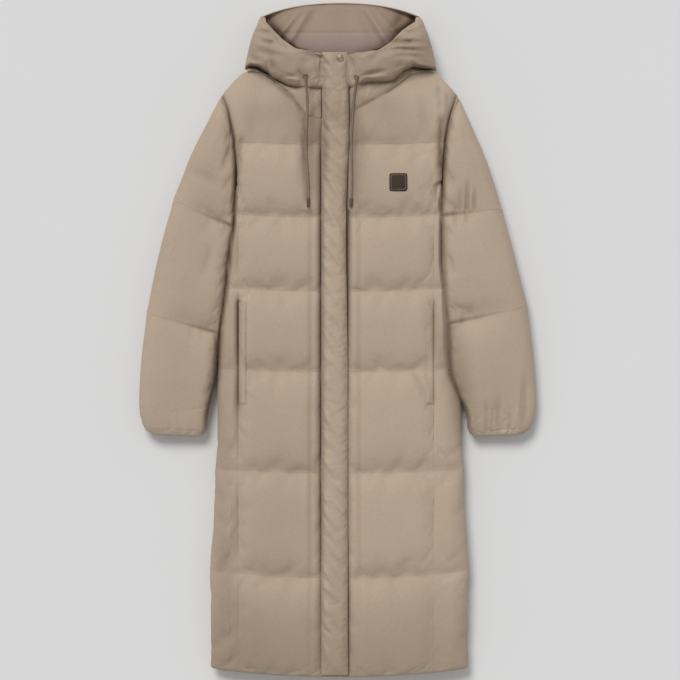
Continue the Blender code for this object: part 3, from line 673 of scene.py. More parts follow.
@dataclass(frozen=True)
class MetalFinish:
    """Painted or plated metal with light wear."""

    name: str
    colour: tuple
    roughness: float = 0.38
    metallic: float = 0.9

    def make(self) -> bpy.types.Material:
        """Make the material.

        Returns:
            The material.
        """
        nodes = Nodes(self.name)
        where = nodes.add("TexCoord").outputs["Object"]
        worn = nodes.noise(where, 700.0, 4.0)
        share = nodes.ranged(worn, 0.4, 0.7, 0.0, 1.0)
        inputs = {
            "Base Color": nodes.mix(share, self.colour, times(self.colour, 1.3)),
            "Roughness": nodes.ranged(worn, 0.3, 0.7, self.roughness - 0.08, self.roughness + 0.1),
            "Normal": nodes.bump(worn, 0.0001, 0.25),
            "Metallic": self.metallic,
        }
        nodes.feed(nodes.shader, inputs)
        return nodes.material


class Slot(Enum):
    """The record's material slots, each with its finish."""

    SHELL = ClothFinish("shell", (0.474, 0.371, 0.278))
    LINING = ClothFinish("lining", (0.352, 0.256, 0.188), sheen=0.2, crinkle=0.3, band=(0.340, 0.257, 0.226))
    CORD = ThreadFinish("cord", (0.235, 0.180, 0.130))
    CORD_TIP = ThreadFinish("cord_tip", (0.100, 0.070, 0.050), 0.5)
    ZIP = ThreadFinish("zip", (0.280, 0.220, 0.165))
    METAL = MetalFinish("metal", (0.300, 0.240, 0.185))
    PATCH = ThreadFinish("patch", (0.040, 0.022, 0.013))

    @property
    def label(self) -> str:
        """Return the slot's name in the record."""
        return self.value.name


class Wardrobe:
    """Makes each finish once and dresses pieces in it."""

    def __init__(self) -> None:
        """Make every finish."""
        self.made = {slot: slot.value.make() for slot in Slot}

    def dress(self, piece: bpy.types.Object, slot: Slot, *nodes: str) -> bpy.types.Object:
        """Give a piece its finish and its place on the coat.

        Args:
            piece: the piece.
            slot: its finish.
            nodes: names of the plain solids that it stands for.

        Returns:
            The same piece.
        """
        piece.data.materials.clear()
        piece.data.materials.append(self.made[slot])
        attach(piece, BODY)
        if nodes:
            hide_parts(*nodes)
        log.info("%s: %d faces", piece.name, len(piece.data.polygons) if piece.type == "MESH" else 0)
        return piece


# ---- padded cloth


@dataclass(frozen=True)
class Filling:
    """How the padding swells a shell."""

    pressure: float = 4.0
    slack: float = 0.03
    stiffness: float = 15.0
    shear: float = 9.0
    bending: float = 0.5
    reach: float = 0.006
    frames: int = 20


class Crease(NamedTuple):
    """A soft trough along a line in plan, or a ridge where its depth is negative."""

    x: float
    y: float
    to_x: float
    to_y: float
    depth: float
    width: float

    def press(self, points: np.ndarray, above: float) -> np.ndarray:
        """Move the points of a grid into the trough.

        Args:
            points: the grid, changed in place.
            above: only points higher than this move.

        Returns:
            How far each point moved down.
        """
        start = np.array([self.x, self.y])
        run = np.array([self.to_x, self.to_y]) - start
        share = np.clip(((points[..., :2] - start) @ run) / (run @ run), 0.0, 1.0)
        away = np.linalg.norm(points[..., :2] - (start + share[..., None] * run), axis=-1)
        fade = np.sin(np.pi * (share * 0.9 + 0.05)) ** 0.7
        drop = np.where(points[..., 2] > above, self.depth * fade * bell(away, self.width), 0.0)
        points[..., 2] -= drop
        return drop


class PaintedShadow(NamedTuple):
    """A deep line along which shade is painted into the cloth's colour."""

    line: tuple | np.ndarray  # x, y and strength of the painted shade at each of its points
    width: float

    def fall(self, points: np.ndarray, above: float) -> np.ndarray:
        """Work out the painted shade that the line gives a grid of points.

        Args:
            points: the grid.
            above: only points higher than this get painted shade.

        Returns:
            The painted shade at each point, from 0 to 1.
        """
        table = np.array(self.line)
        run = run_along(table[:, :2])
        line = read(table, run, np.linspace(0.0, run[-1], round(run[-1] / 0.003) + 2))
        dark = np.zeros(points.shape[0] * points.shape[1])
        near, nearest, away = near_line(points.reshape(-1, 3), line, self.width, above)
        dark[near] = nearest[:, 2] * bell(away, self.width)
        return dark.reshape(points.shape[:2])


@dataclass
class Shell:
    """The outer cloth of one padded piece, as a grid of points."""

    name: str
    points: np.ndarray  # rows by columns by 3
    held: np.ndarray  # 1 where a seam or stitched line holds the cloth
    inner: np.ndarray  # the inner face's points, on the same grid
    facing: tuple  # the direction that the cloth faces on the whole
    stitched: tuple = ()  # rows that are stitched lines
    filling: Filling = field(default_factory=Filling)
    loose: Number = 1.0  # share of the filling's reach allowed at each point
    seed: int = 1  # of its uneven start
    shade: np.ndarray = field(init=False)  # painted shade at each point, from 0 to 1: dark in creases and along deep lines

    def __post_init__(self) -> None:
        """Start with no painted shade."""
        self.shade = np.zeros(self.points.shape[:2])

    def faces(self) -> list:
        """Join the grid's points.

        Returns:
            Its quads, facing outwards.
        """
        rows, columns = self.points.shape[:2]
        index = np.arange(rows * columns).reshape(rows, columns)
        low, high = index[:-1], index[1:]
        quads = np.stack([low[:, :-1], low[:, 1:], high[:, 1:], high[:, :-1]], axis=-1).reshape(-1, 4)
        flat = self.points.reshape(-1, 3)
        a, b, c, d = (flat[quads[:, corner]] for corner in range(4))
        outwards = np.cross(c - a, d - b).sum(axis=0) @ np.array(self.facing) > 0.0
        return (quads if outwards else quads[:, ::-1]).tolist()

    def swell(self) -> "Shell":
        """Let the filling swell the cloth between its held points, each within its reach.

        Returns:
            The shell itself.
        """
        rng = np.random.default_rng(self.seed)
        uneven = 0.0003 * rng.standard_normal(self.points.shape) * (1.0 - self.held)[..., None]
        piece = make_piece("swelling", self.points + uneven, self.faces())
        pins = piece.vertex_groups.new(name="held")
        pins.add(np.flatnonzero(self.held.ravel() > 0.5).tolist(), 1.0, "REPLACE")
        cloth = piece.modifiers.new("cloth", "CLOTH")
        settings = cloth.settings
        settings.vertex_group_mass = "held"
        settings.tension_stiffness = settings.compression_stiffness = self.filling.stiffness
        settings.shear_stiffness = self.filling.shear
        settings.bending_stiffness = self.filling.bending
        settings.use_pressure = True
        settings.uniform_pressure_force = self.filling.pressure
        settings.shrink_min = -self.filling.slack
        settings.effector_weights.gravity = 0.0
        cloth.collision_settings.use_collision = False
        cloth.point_cache.frame_start = 1
        cloth.point_cache.frame_end = self.filling.frames
        for frame in range(1, self.filling.frames + 1):
            bpy.context.scene.frame_set(frame)
        shaped = piece.evaluated_get(bpy.context.evaluated_depsgraph_get())
        moved = np.zeros(self.points.size, np.float32)
        shaped.data.vertices.foreach_get("co", moved)
        bpy.data.objects.remove(piece)
        bpy.context.scene.frame_set(1)
        move = moved.reshape(self.points.shape) - self.points
        length = np.maximum(np.linalg.norm(move, axis=-1, keepdims=True), 1e-9)
        limit = self.filling.reach * np.broadcast_to(self.loose, self.held.shape)[..., None] + 1e-6
        self.points = self.points + move / length * limit * np.tanh(length / limit)
        return self

    def press(self, creases: tuple, above: float = MIDDLE) -> "Shell":
        """Press the listed creases into the upper face.

        Args:
            creases: rows of Crease.
            above: only points higher than this move.

        Returns:
            The shell itself.
        """
        for row in creases:
            # painted shade: each crease darkens the cloth's colour by its depth
            self.shade += CREASE_SHADE * np.maximum(Crease(*row).press(self.points, above), 0.0)
        return self

    def soften(self, rows: tuple, passes: int = 7, reach: int = 5, columns: slice = slice(None)) -> "Shell":
        """Round the valleys along some of the rows.

        Args:
            rows: numbers of the rows.
            passes: how soft the valleys get.
            reach: how many rows to either side take part.
            columns: the columns that take part.

        Returns:
            The shell itself.
        """
        number = np.arange(len(self.points))[:, None]
        away = np.abs(number - np.array(rows)[None, :]).min(axis=1)
        weight = np.clip(1.5 - away / reach, 0.0, 1.0)[:, None]
        for _ in range(passes):
            height = self.points[:, columns, 2]
            around = np.concatenate([height[:1], height, height[-1:]])
            self.points[:, columns, 2] += ((around[:-2] + around[2:]) / 2 - height) * weight / 2
        return self

    def paint_shade(self, shadows: list, above: float = MIDDLE) -> "Shell":
        """Paint shade into the upper face's colour along deep lines.

        Args:
            shadows: the lines.
            above: only points higher than this get painted shade.

        Returns:
            The shell itself.
        """
        for shadow in shadows:
            self.shade = np.maximum(self.shade, shadow.fall(self.points, above))
        return self

    def meet(self, route: np.ndarray, width: float) -> "Shell":
        """Bring the upper face up or down to the cord that lies on it.

        Args:
            route: the cord's middle points.
            width: how far to the side the cloth follows.

        Returns:
            The shell itself.
        """
        flat = self.points.reshape(-1, 3)
        near, nearest, away = near_line(flat, route, width, MIDDLE)
        share = bell(np.maximum(away - CORD_RADIUS, 0.0), width)
        flat[near, 2] += (nearest[:, 2] - CORD_RADIUS - 0.0002 - flat[near, 2]) * share
        self.points = flat.reshape(self.points.shape)
        return self

    def tree(self) -> BVHTree:
        """Return the outer cloth as a tree to drop points on."""
        return BVHTree.FromPolygons(self.points.reshape(-1, 3).tolist(), self.faces())

    def closing(self, row_picks: list, column_picks: list) -> list:
        """Return the faces of the inner face and of the walls round it.

        Args:
            row_picks: rows that the inner face has.
            column_picks: its columns.

        Returns:
            The faces, as lists of point numbers.
        """
        rows, columns = self.points.shape[:2]
        base, wide = rows * columns, len(column_picks)
        faces = []
        for i, (row, row_next) in enumerate(zip(row_picks, row_picks[1:])):
            for j in range(wide - 1):
                corner = base + i * wide + j
                faces.append([corner, corner + wide, corner + wide + 1, corner + 1])
            for column, j, step in ((0, 0, 1), (columns - 1, wide - 1, -1)):
                side = [row_at * columns + column for row_at in range(row, row_next + 1)]
                faces.append([*side, base + (i + 1) * wide + j, base + i * wide + j][::step])
        for j, (column, column_next) in enumerate(zip(column_picks, column_picks[1:])):
            for row, i, step in ((0, 0, -1), (rows - 1, len(row_picks) - 1, 1)):
                side = [row * columns + column_at for column_at in range(column, column_next + 1)]
                faces.append([*side, base + i * wide + j + 1, base + i * wide + j][::step])
        return faces

    def sew(self, row_step: int = 6, column_step: int = 5) -> bpy.types.Object:
        """Close the shell over its inner face and make the piece.

        Args:
            row_step: the inner face has every so many rows.
            column_step: the same for its columns.

        Returns:
            The finished piece.
        """
        self.points[..., 2] = np.maximum(self.points[..., 2], FLOOR)
        rows, columns = self.points.shape[:2]
        row_picks = sorted({*range(0, rows, row_step), rows - 1})
        column_picks = sorted({*range(0, columns, column_step), columns - 1})
        across, along = lengths(self.points, 1), lengths(self.points, 0)
        sheet = np.stack(np.broadcast_arrays(across, along.mean(axis=1, keepdims=True)), axis=-1)
        picked = np.ix_(row_picks, column_picks)
        points = np.concatenate([self.points.reshape(-1, 3), self.inner[picked].reshape(-1, 3)])
        flat = np.concatenate([sheet.reshape(-1, 2), sheet[picked].reshape(-1, 2)])
        faces, closing = self.faces(), self.closing(row_picks, column_picks)
        turn = 1 if faces[0] == [0, 1, columns + 1, columns] else -1
        piece = make_piece(f"{self.name}_cloth", points, faces + [face[::turn] for face in closing])
        mesh = piece.data
        self.crease_edges(mesh)
        corners = np.zeros(len(mesh.loops), np.int32)
        mesh.loops.foreach_get("vertex_index", corners)
        layer = mesh.uv_layers.new(name="cloth")
        layer.data.foreach_set("uv", flat[corners].astype(np.float32).ravel())
        # painted shade, kept as a point attribute that the cloth's finish reads; the inner face gets none
        shade = np.concatenate([self.shade.ravel(), np.zeros(len(points) - self.shade.size)])
        mesh.attributes.new("shade", "FLOAT", "POINT").data.foreach_set("value", shade.astype(np.float32))
        modify(piece, "SUBSURF", levels=1, render_levels=1)
        smooth(piece, 60.0)
        return piece

    def crease_edges(self, mesh: bpy.types.Mesh) -> None:
        """Keep the stitched rows and the borders sharp when the mesh is subdivided.

        Args:
            mesh: the sewn mesh.
        """
        rows, columns = self.points.shape[:2]
        ends = np.zeros(len(mesh.edges) * 2, np.int32)
        mesh.edges.foreach_get("vertices", ends)
        ends = ends.reshape(-1, 2)
        row, column = ends // columns, ends % columns
        outer = (ends < rows * columns).all(axis=1)
        level = outer & (row[:, 0] == row[:, 1])
        upright = outer & (column[:, 0] == column[:, 1])
        values = np.where(outer, 0.0, 1.0)
        values[level & np.isin(row[:, 0], self.stitched)] = 0.25
        values[level & np.isin(row[:, 0], [0, rows - 1])] = 1.0
        values[upright & np.isin(column[:, 0], [0, columns - 1])] = 1.0
        layer = mesh.attributes.new("crease_edge", "FLOAT", "EDGE")
        layer.data.foreach_set("value", values.astype(np.float32))


@dataclass
class Coat:
    """What the sub-assemblies share."""

    wardrobe: Wardrobe
    cords: dict = field(default_factory=dict)  # routes, by side
    shells: dict = field(default_factory=dict)  # finished shells, by piece
    seams: list = field(default_factory=list)  # lines to stitch, as points with an up direction

    def finish_shell(self, shell: Shell, fill: float = 0.7) -> None:
        """Args:
            shell: the shell, named as its node.
            fill: how full it is; not used.
        """
        # paint shade into the cloth along the deep lines
        shell.paint_shade(painted_shade_lines())
        piece = self.wardrobe.dress(shell.sew(), Slot.SHELL, shell.name)
        self.shells[shell.name] = shell

    def finish_trim(self, shell: Shell, slot: Slot) -> bpy.types.Object:
        """Sew a thin shell, named as its node, and return it dressed."""
        return self.wardrobe.dress(shell.sew(1, 1), slot, shell.name)

    def stitch(self, points: np.ndarray, up: tuple = (0.0, 0.0, 1.0), lift: float = 0.0003) -> None:
        """Ask for stitches along a line, lifted a little from the cloth."""
        self.seams.append((np.asarray(points) + np.asarray(up) * lift, np.asarray(up, dtype=float)))

    def stitch_rows(self, shell: Shell, rows: tuple, columns: slice, *more) -> None:
        """Ask for stitches along some of a shell's rows."""
        for row in rows:
            self.stitch(shell.points[row, columns], *more)


PAINTED_SHADE_LINES = (  # painted shade lines: width, then x, y and strength of the painted shade at each point
    # painted shade at the flap's left and right edges, and on darker stretches of the flap itself
    (0.0034, (-0.032, -0.655, 0.2, -0.0315, -0.5, 0.1, -0.0325, -0.42, 0.4, -0.032, -0.1, 0.45,
              -0.032, 0.3, 0.45, -0.0315, 0.4, 0.35, -0.032, 0.45, 0.45, -0.032, 0.5, 0.4,
              -0.033, 0.555, 0.3)),
    (0.0034, (0.02, -0.655, 0.35, 0.0215, -0.52, 0.45, 0.0215, -0.4, 0.2, 0.021, -0.2, 0.08,
              0.0205, -0.02, 0.12, 0.0195, 0.05, 0.4, 0.0185, 0.15, 0.5, 0.019, 0.28, 0.5, 0.0215, 0.36, 0.55,
              0.0225, 0.44, 0.6, 0.022, 0.5, 0.4, 0.02, 0.555, 0.3)),
    (0.0095, (-0.023, 0.475, 0.28, -0.0235, 0.42, 0.32, -0.024, 0.36, 0.45, -0.0255, 0.31, 0.2)),
    (0.0038, (-0.0285, 0.3, 0.25, -0.0285, -0.1, 0.35, -0.0285, -0.42, 0.25, -0.0285, -0.655, 0.15)),
    (0.02, (-0.006, 0.53, 0.12, -0.006, 0.36, 0.08, -0.006, 0.2, 0.0, -0.006, -0.33, 0.0, -0.006, -0.45, 0.16,
              -0.006, -0.655, 0.22)),
    # painted shade beside the drawcords
    (0.013, (-0.048, 0.445, 0.36, -0.049, 0.36, 0.4, -0.05, 0.29, 0.3, -0.047, 0.26, 0.0)),
    (0.0062, (-0.0655, 0.437, 0.68, -0.0655, 0.36, 0.8, -0.0605, 0.3, 0.6, -0.059, 0.27, 0.5)),
    (0.018, (0.042, 0.44, 0.3, 0.041, 0.36, 0.3, 0.038, 0.29, 0.15, 0.036, 0.24, 0.0)),
    (0.009, (0.034, 0.45, 0.48, 0.0345, 0.38, 0.46, 0.034, 0.31, 0.36, 0.033, 0.27, 0.3, 0.031, 0.25, 0.0)),
    # painted shade in the neck seam, and on the cloth round the neck
    (0.006, (-0.128, 0.502, 0.5, -0.094, 0.474, 0.5, -0.079, 0.457, 0.5, -0.064, 0.437, 0.55,
              -0.0655, 0.42, 0.5)),
    (0.006, (0.13, 0.51, 0.4, 0.104, 0.4865, 0.4, 0.079, 0.471, 0.4, 0.056, 0.458, 0.45, 0.034, 0.446, 0.5,
              0.0285, 0.42, 0.55)),
    (0.032, (-0.16, 0.435, 0.16, -0.1, 0.445, 0.24, 0.0, 0.44, 0.2, 0.1, 0.45, 0.22)),
    # painted shade on the hood
    (0.04, (-0.165, 0.575, 0.2, -0.1, 0.545, 0.18, -0.05, 0.535, 0.14, 0.04, 0.535, 0.16, 0.1, 0.545, 0.26,
              0.165, 0.575, 0.3)),
    (0.0042, (0.1024, 0.5765, 0.6, 0.135, 0.5755, 0.55, 0.165, 0.574, 0.35)),
    (0.0042, (0.112, 0.559, 0.4, 0.14, 0.56, 0.45, 0.172, 0.557, 0.3)),
    (0.004, (0.1316, 0.5957, 0.4, 0.1609, 0.59, 0.3)),
    (0.0045, (0.115, 0.5465, 0.3, 0.172, 0.5455, 0.3)),
    (0.0034, (0.0439, 0.508, 0.45, 0.0634, 0.5119, 0.45, 0.0926, 0.5177, 0.4)),
    (0.004, (-0.155, 0.5977, 0.4, -0.1355, 0.5957, 0.4)),
    (0.0045, (-0.15, 0.577, 0.3, -0.118, 0.57, 0.25)),
    (0.0034, (-0.076, 0.5185, 0.5, -0.0634, 0.5075, 0.5)),
    # broad faint painted shade towards the hem and on the left side
    (0.09, (-0.13, -0.15, 0.03, -0.13, -0.3, 0.07, -0.13, -0.44, 0.08)),
    (0.06, (-0.25, 0.4, 0.06, -0.28, 0.2, 0.05, -0.31, 0.0, 0.06, -0.32, -0.12, 0.06)),
    (0.05, (0.3, 0.03, 0.03, 0.31, -0.12, 0.06)),
    (0.12, (-0.22, -0.62, 0.34, -0.05, -0.63, 0.26, 0.22, -0.63, 0.2)),
    (0.024, (-0.216, 0.06, 0.12, -0.222, -0.35, 0.2, -0.222, -0.62, 0.34)),
    # painted shade in the armholes and beside the lower sleeves
    (0.005, (0.2, 0.426, 0.6, 0.199, 0.338, 0.7)),
    (0.006, (0.2, 0.27, 0.5, 0.2, 0.25, 0.5)),
    (0.0025, (0.196, 0.485, 0.35, 0.196, 0.449, 0.35)),
    (0.0025, (0.2115, 0.48, 0.35, 0.2115, 0.449, 0.35)),
    (0.004, (-0.198, 0.387, 0.3, -0.186, 0.348, 0.25)),
    (0.028, (0.216, 0.045, 0.15, 0.22, -0.02, 0.38, 0.235, -0.1, 0.38, 0.25, -0.17, 0.25)),
    (0.013, (-0.23, 0.03, 0.3, -0.236, -0.07, 0.5, -0.252, -0.14, 0.45, -0.256, -0.18, 0.25)),
)

FADE = ((0.0, 0.8), (0.2, 0.6), (0.45, 0.25), (0.7, 0.0))  # share of a sleeve's line, and strength of the painted shade there
SLIT_FADE = ((0.072, 1.0), (-0.03, 0.85), (-0.127, 0.5))  # y along a pocket, and share of its painted shade there


def painted_shade_lines() -> list:
    """Gather the lines along which shade is painted into the cloth.

    Returns:
        Painted shade beside the sleeves, the flap and the pockets, and below the hood.
    """
    lines = [PaintedShadow(np.reshape(line, (-1, 3)), width) for width, line in PAINTED_SHADE_LINES]
    for side in SIDES:
        inner = [(side.x(ring.inner), ring.inner_y, dark) for ring, dark in zip(side.rings, side.sleeve_painted_shade)]
        lip = tuple((HOOD_X + side.sign * half, *rest) for half, *rest in side.hood_edge)
        lines += [PaintedShadow(tuple(inner[:8]), 0.0052), PaintedShadow(tuple(inner[7:]), 0.0080), PaintedShadow(lip, 0.0038)]
        for number in Sleeves.quilts[1:-1]:
            ring = side.rings[number]
            ends = np.array([(ring.inner, ring.inner_y), (ring.outer, ring.outer_y)])
            fade = ((*lerp(*ends, share), dark) for share, dark in FADE)
            lines.append(PaintedShadow(tuple((side.x(half), y, dark) for half, y, dark in fade), 0.0042))
        seam, slit_shade = side.x(side.princess), 0.85 if side is LEFT else 0.25
        lines.append(PaintedShadow(tuple((seam, y, share * slit_shade) for y, share in SLIT_FADE), 0.0036))
    return lines


# ---- the body


@dataclass
class Fronts:
    """The two fronts, from the zip to the lengthways seam and the armhole, up to the neck and shoulder."""

    coat: Coat
    rows: int = 34  # in each channel
    columns: int = 32
    yoke_rows: int = 14
    zip_half: float = 0.0055
    flap_round: float = 0.013
    flap_low: tuple = (  # y and top beside the flap, left and right
        ((-0.66, 0.0400), (-0.50, 0.0400), (-0.32, 0.0385), (-0.16, 0.0365), (0.0, 0.0360), (0.6, 0.0360)),
        ((-0.66, 0.0365), (-0.53, 0.0370), (-0.42, 0.0405), (-0.30, 0.0415), (-0.10, 0.0415), (-0.03, 0.0400),
         (0.04, 0.0365), (0.6, 0.0360)),
    )
    ridge: float = 0.021  # from the flap to the groove beside its facing
    seam_round: float = 0.018
    closed_y: float = -0.616  # the fronts meet below the zip's end
    creases: tuple = (  # x, y, to_x, to_y, depth, width
        (-0.184, 0.392, -0.1975, 0.345, 0.007, 0.0045), (0.196, 0.395, 0.206, 0.35, 0.006, 0.0045),
        (-0.072, 0.45, -0.068, 0.29, 0.006, 0.0045), (-0.0565, 0.415, -0.0545, 0.3, 0.005, 0.005),
        (0.034, 0.45, 0.0345, 0.3, 0.004, 0.005), (0.145, -0.062, 0.171, -0.11, 0.003, 0.006),
        (-0.085, 0.415, -0.07, 0.38, 0.002, 0.006), (0.06, 0.43, 0.075, 0.385, 0.002, 0.006),
        (-0.15, 0.47, -0.165, 0.395, 0.003, 0.01), (0.16, 0.47, 0.172, 0.395, 0.003, 0.01),
    )

    @staticmethod
    def neck_line(side: Half) -> np.ndarray:
        """Return half, y and top along a smooth curve round the neck and down the shoulder."""
        return smooth_route(side.neckline, 0.002)

    def grid(self, side: Half) -> tuple:
        """Lay out one front.

        Args:
            side: which front.

        Returns:
            The outer points, in halves, and the places of the rows below the armhole's end.
        """
        place = PATTERN.places(self.rows)
        y_at = PATTERN.place_y(place, 0.2)
        border = PATTERN.border(PATTERN.princess(side, y_at), y_at)
        start = side.flap - 0.005
        meets = lerp(0.15, 1.0, ramp(y_at - self.closed_y, 0.008))
        half = joined(self.zip_half * meets, start + (border - start) * spaced(self.columns))
        top = lerp(STITCH_TOP, PATTERN.crest(place), puff(place % 1.0))
        low = flow(np.array(self.flap_low[side is RIGHT]), y_at)
        top = settled(top, low, half - side.flap, self.flap_round)
        top = settled(top, PATTERN.seam_top(side, y_at), border - half, self.seam_round)
        grid = grid_of(half, PATTERN.place_y(place, half), top)
        neck = self.neck_line(side)
        across = np.clip((half[-1] - side.flap) / (border[-1] - side.flap), 0.0, 1.0)
        neck = read(neck, np.linspace(0.0, 1.0, len(neck)), across)
        neck[:2, 0] = self.zip_half, start
        rise = rounded(half[-1] - side.flap, 3.5 * self.flap_round) * rounded(border[-1] - half[-1], 0.03)
        upper = []
        for share in spaced(self.yoke_rows)[1:]:
            row = lerp(grid[-1], neck, share)
            row[:, 2] += (CREST_START - STITCH_TOP) * puff(share) * rise
            upper.append(row)
        grid = np.concatenate([grid, upper])
        grid[..., 2] = PATTERN.pressed(side, *np.moveaxis(grid, -1, 0))
        return grid, place

    def shell(self, side: Half) -> Shell:
        """Shape one front.

        Args:
            side: which front.

        Returns:
            Its shell.
        """
        points, place = self.grid(side)
        points[..., 0] = side.x(points[..., 0])
        points, inner, held, stitched = body_hem(points, raised(points, BACK_TOP + GAP), place)
        held[:, 1] = 1.0
        half = side.sign * (points[..., 0] - ZIP_X)
        from_edge = np.minimum(half - side.flap, half[:, -1:] - half)
        loose = lerp(0.2, 1.0, ramp(from_edge - 0.006, 0.02))
        name = f"front_{side.name}"
        return Shell(name, points, held, inner, (0, 0, 1), stitched, loose=loose, seed=11 + side.sign)

    def build(self) -> None:
        """Make both fronts."""
        for side in SIDES:
            groove = side.x(side.flap + self.ridge)
            shell = self.shell(side).swell()
            shell.soften((*shell.stitched[1:], len(shell.points) - 1))
            shell.press((*self.creases, (groove, -0.700, groove, 0.480, 0.0030, 0.0035)))
            shell.meet(self.coat.cords[side.name], 0.007)
            self.coat.finish_shell(shell)
            self.coat.stitch_rows(shell, (*shell.stitched[1:], shell.stitched[0] + 4), slice(3, -1))


@dataclass
class Back:
    """The back, between its two lengthways seams, up to the neck and shoulders."""

    coat: Coat
    rows: int = 27
    columns: int = 66
    neck_rows: int = 20
    neckline: tuple = (
        Neck(-0.231, 0.471, 0.02), Neck(-0.19, 0.516, 0.02), Neck(-0.08, 0.519, GROOVE),
        Neck(0.0, 0.518, GROOVE), Neck(0.08, 0.519, GROOVE), Neck(0.19, 0.516, 0.02),
        Neck(0.231, 0.471, 0.02),
    )
    stops: tuple = (-1.0, -0.92, -0.45, 0.0, 0.45, 0.92, 1.0)

    def build(self) -> None:
        """Make the back."""
        place = PATTERN.places(self.rows)
        y_at = PATTERN.place_y(place, 0.2)
        border = PATTERN.border(PATTERN.back_seam(y_at), y_at)
        across = 2.0 * spaced(self.columns, 0.35) - 1.0
        half = border * across
        rise = rounded(border - np.abs(half), 0.02)
        grid = grid_of(half, PATTERN.place_y(place, np.abs(half)), GROOVE * (1.0 - puff(place % 1.0) * rise))
        neck = read(np.array(self.neckline), np.array(self.stops), across)
        upper = []
        for share in spaced(self.neck_rows)[1:]:
            row = lerp(grid[-1], neck, share)
            row[:, 2] = GROOVE * (1.0 - puff(share) * rise[-1]) + (neck[:, 2] - GROOVE) * share**3
            upper.append(row)
        points = np.concatenate([grid, upper])
        points[..., 0] += ZIP_X
        points, inner, held, stitched = body_hem(points, raised(points, BACK_TOP), place)
        shell = Shell("back", points, held, inner, (0, 0, -1), stitched, seed=21).swell()
        shell.soften(shell.stitched[1:])
        self.coat.finish_shell(shell, 0.6)
        self.coat.stitch_rows(shell, shell.stitched[1:], slice(1, -1), (0.0, 0.0, -1.0), 0.0)


@dataclass(frozen=True)
class Wrap:
    """A cross-section that goes over the top, round an edge and back below."""

    over: int
    round: int
    under: int
    fold_share: float = 0.65  # share of the edge's depth where the inner fold lies
    fold_round: float = 0.12

    def turn(self, edge: Number, depth: Number, top: Number, middle: Number, bottom: Number) -> tuple:
        """Go round the edge from above to below, row by row.

        Args:
            edge: half at the widest line.
            depth: how far in the round part starts.
            top: height where it starts.
            middle: height of the widest line.
            bottom: height where it ends.

        Returns:
            Halves and heights.
        """
        angles = np.linspace(math.pi / 2, -math.pi / 2, self.round + 2)[1:-1]
        reach = np.where(angles > 0.0, top - middle, middle - bottom)
        return edge - depth + depth * np.cos(angles), middle + reach * np.sin(angles) + 0 * edge

    def fold(self, edge: Number, depth: Number) -> tuple:
        """Return halves and heights round the narrow fold inside the edge."""
        heights = BACK_TOP + SLIT, BACK_TOP + SLIT / 2, BACK_TOP
        return self.turn(edge - depth * self.fold_share, depth * self.fold_round, *heights)


@dataclass
class SidePanels:
    """The side panels: from the front's seam round the side edge to the back's seam."""

    coat: Coat
    rows: int = 34
    seam_round: float = 0.016
    line_inset: float = 0.003  # of the side edge at a stitched line
    wrap: Wrap = Wrap(15, 11, 14)

    def shell(self, side: Half) -> Shell:
        """Shape one side panel.

        Args:
            side: which one.

        Returns:
            Its shell.
        """
        place = PATTERN.places(self.rows, PATTERN.armhole_place)
        y = PATTERN.place_y(place, 0.2)
        seam = PATTERN.princess(side, y) + GAP / 2
        under_seam = PATTERN.back_seam(y) + GAP / 2
        depth = PATTERN.edge_round(side, y)
        swell = puff(place % 1.0)
        edge = PATTERN.edge(y) - self.line_inset * (1.0 - swell) - PATTERN.inset * swell
        top = lerp(STITCH_TOP, PATTERN.crest(place), swell)
        bottom = GROOVE * (1.0 - swell)
        inside = edge - depth
        run = seam + (inside - seam) * spaced(self.wrap.over, 0.4)
        over = settled(top, PATTERN.seam_top(side, y), run - seam, self.seam_round)
        over = PATTERN.pressed(side, run, y, over)
        turned, heights = self.wrap.turn(edge, depth, over[:, -1:], MIDDLE, bottom)
        heights = np.where(heights > MIDDLE, PATTERN.pressed(side, turned, y, heights), heights)
        back = inside + (under_seam - inside) * spaced(self.wrap.under, 0.3)
        below = lerp(GROOVE, bottom, rounded(back - under_seam, 0.02))
        folded, fold_heights = self.wrap.fold(edge, depth)
        insides = np.full_like(run, BACK_TOP + SLIT), fold_heights, np.full_like(back, BACK_TOP)
        outer = joined(run, turned, back), joined(over, heights, below)
        inner = joined(run, folded, back), joined(*insides)
        grids = (grid_of(side.x(half), PATTERN.place_y(place, half), top) for half, top in (outer, inner))
        points, inner, held, stitched = body_hem(*grids, place)
        loose = np.ones(points.shape[:2])
        loose[points[:, self.wrap.over, 1] > -0.20] = 0.25
        loose *= np.interp(np.arange(loose.shape[1]), [0, 6, 15], [0.05, 0.1, 0.8])
        name, facing = f"side_panel_{side.name}", (side.sign, 0, 0)
        return Shell(name, points, held, inner, facing, stitched, loose=loose, seed=31 + side.sign)

    def build(self) -> None:
        """Make both side panels."""
        for side in SIDES:
            shell = self.shell(side).swell()
            shell.soften(shell.stitched[1:])
            self.coat.finish_shell(shell)
            self.coat.stitch_rows(shell, shell.stitched[1:], slice(1, self.wrap.over + 4))


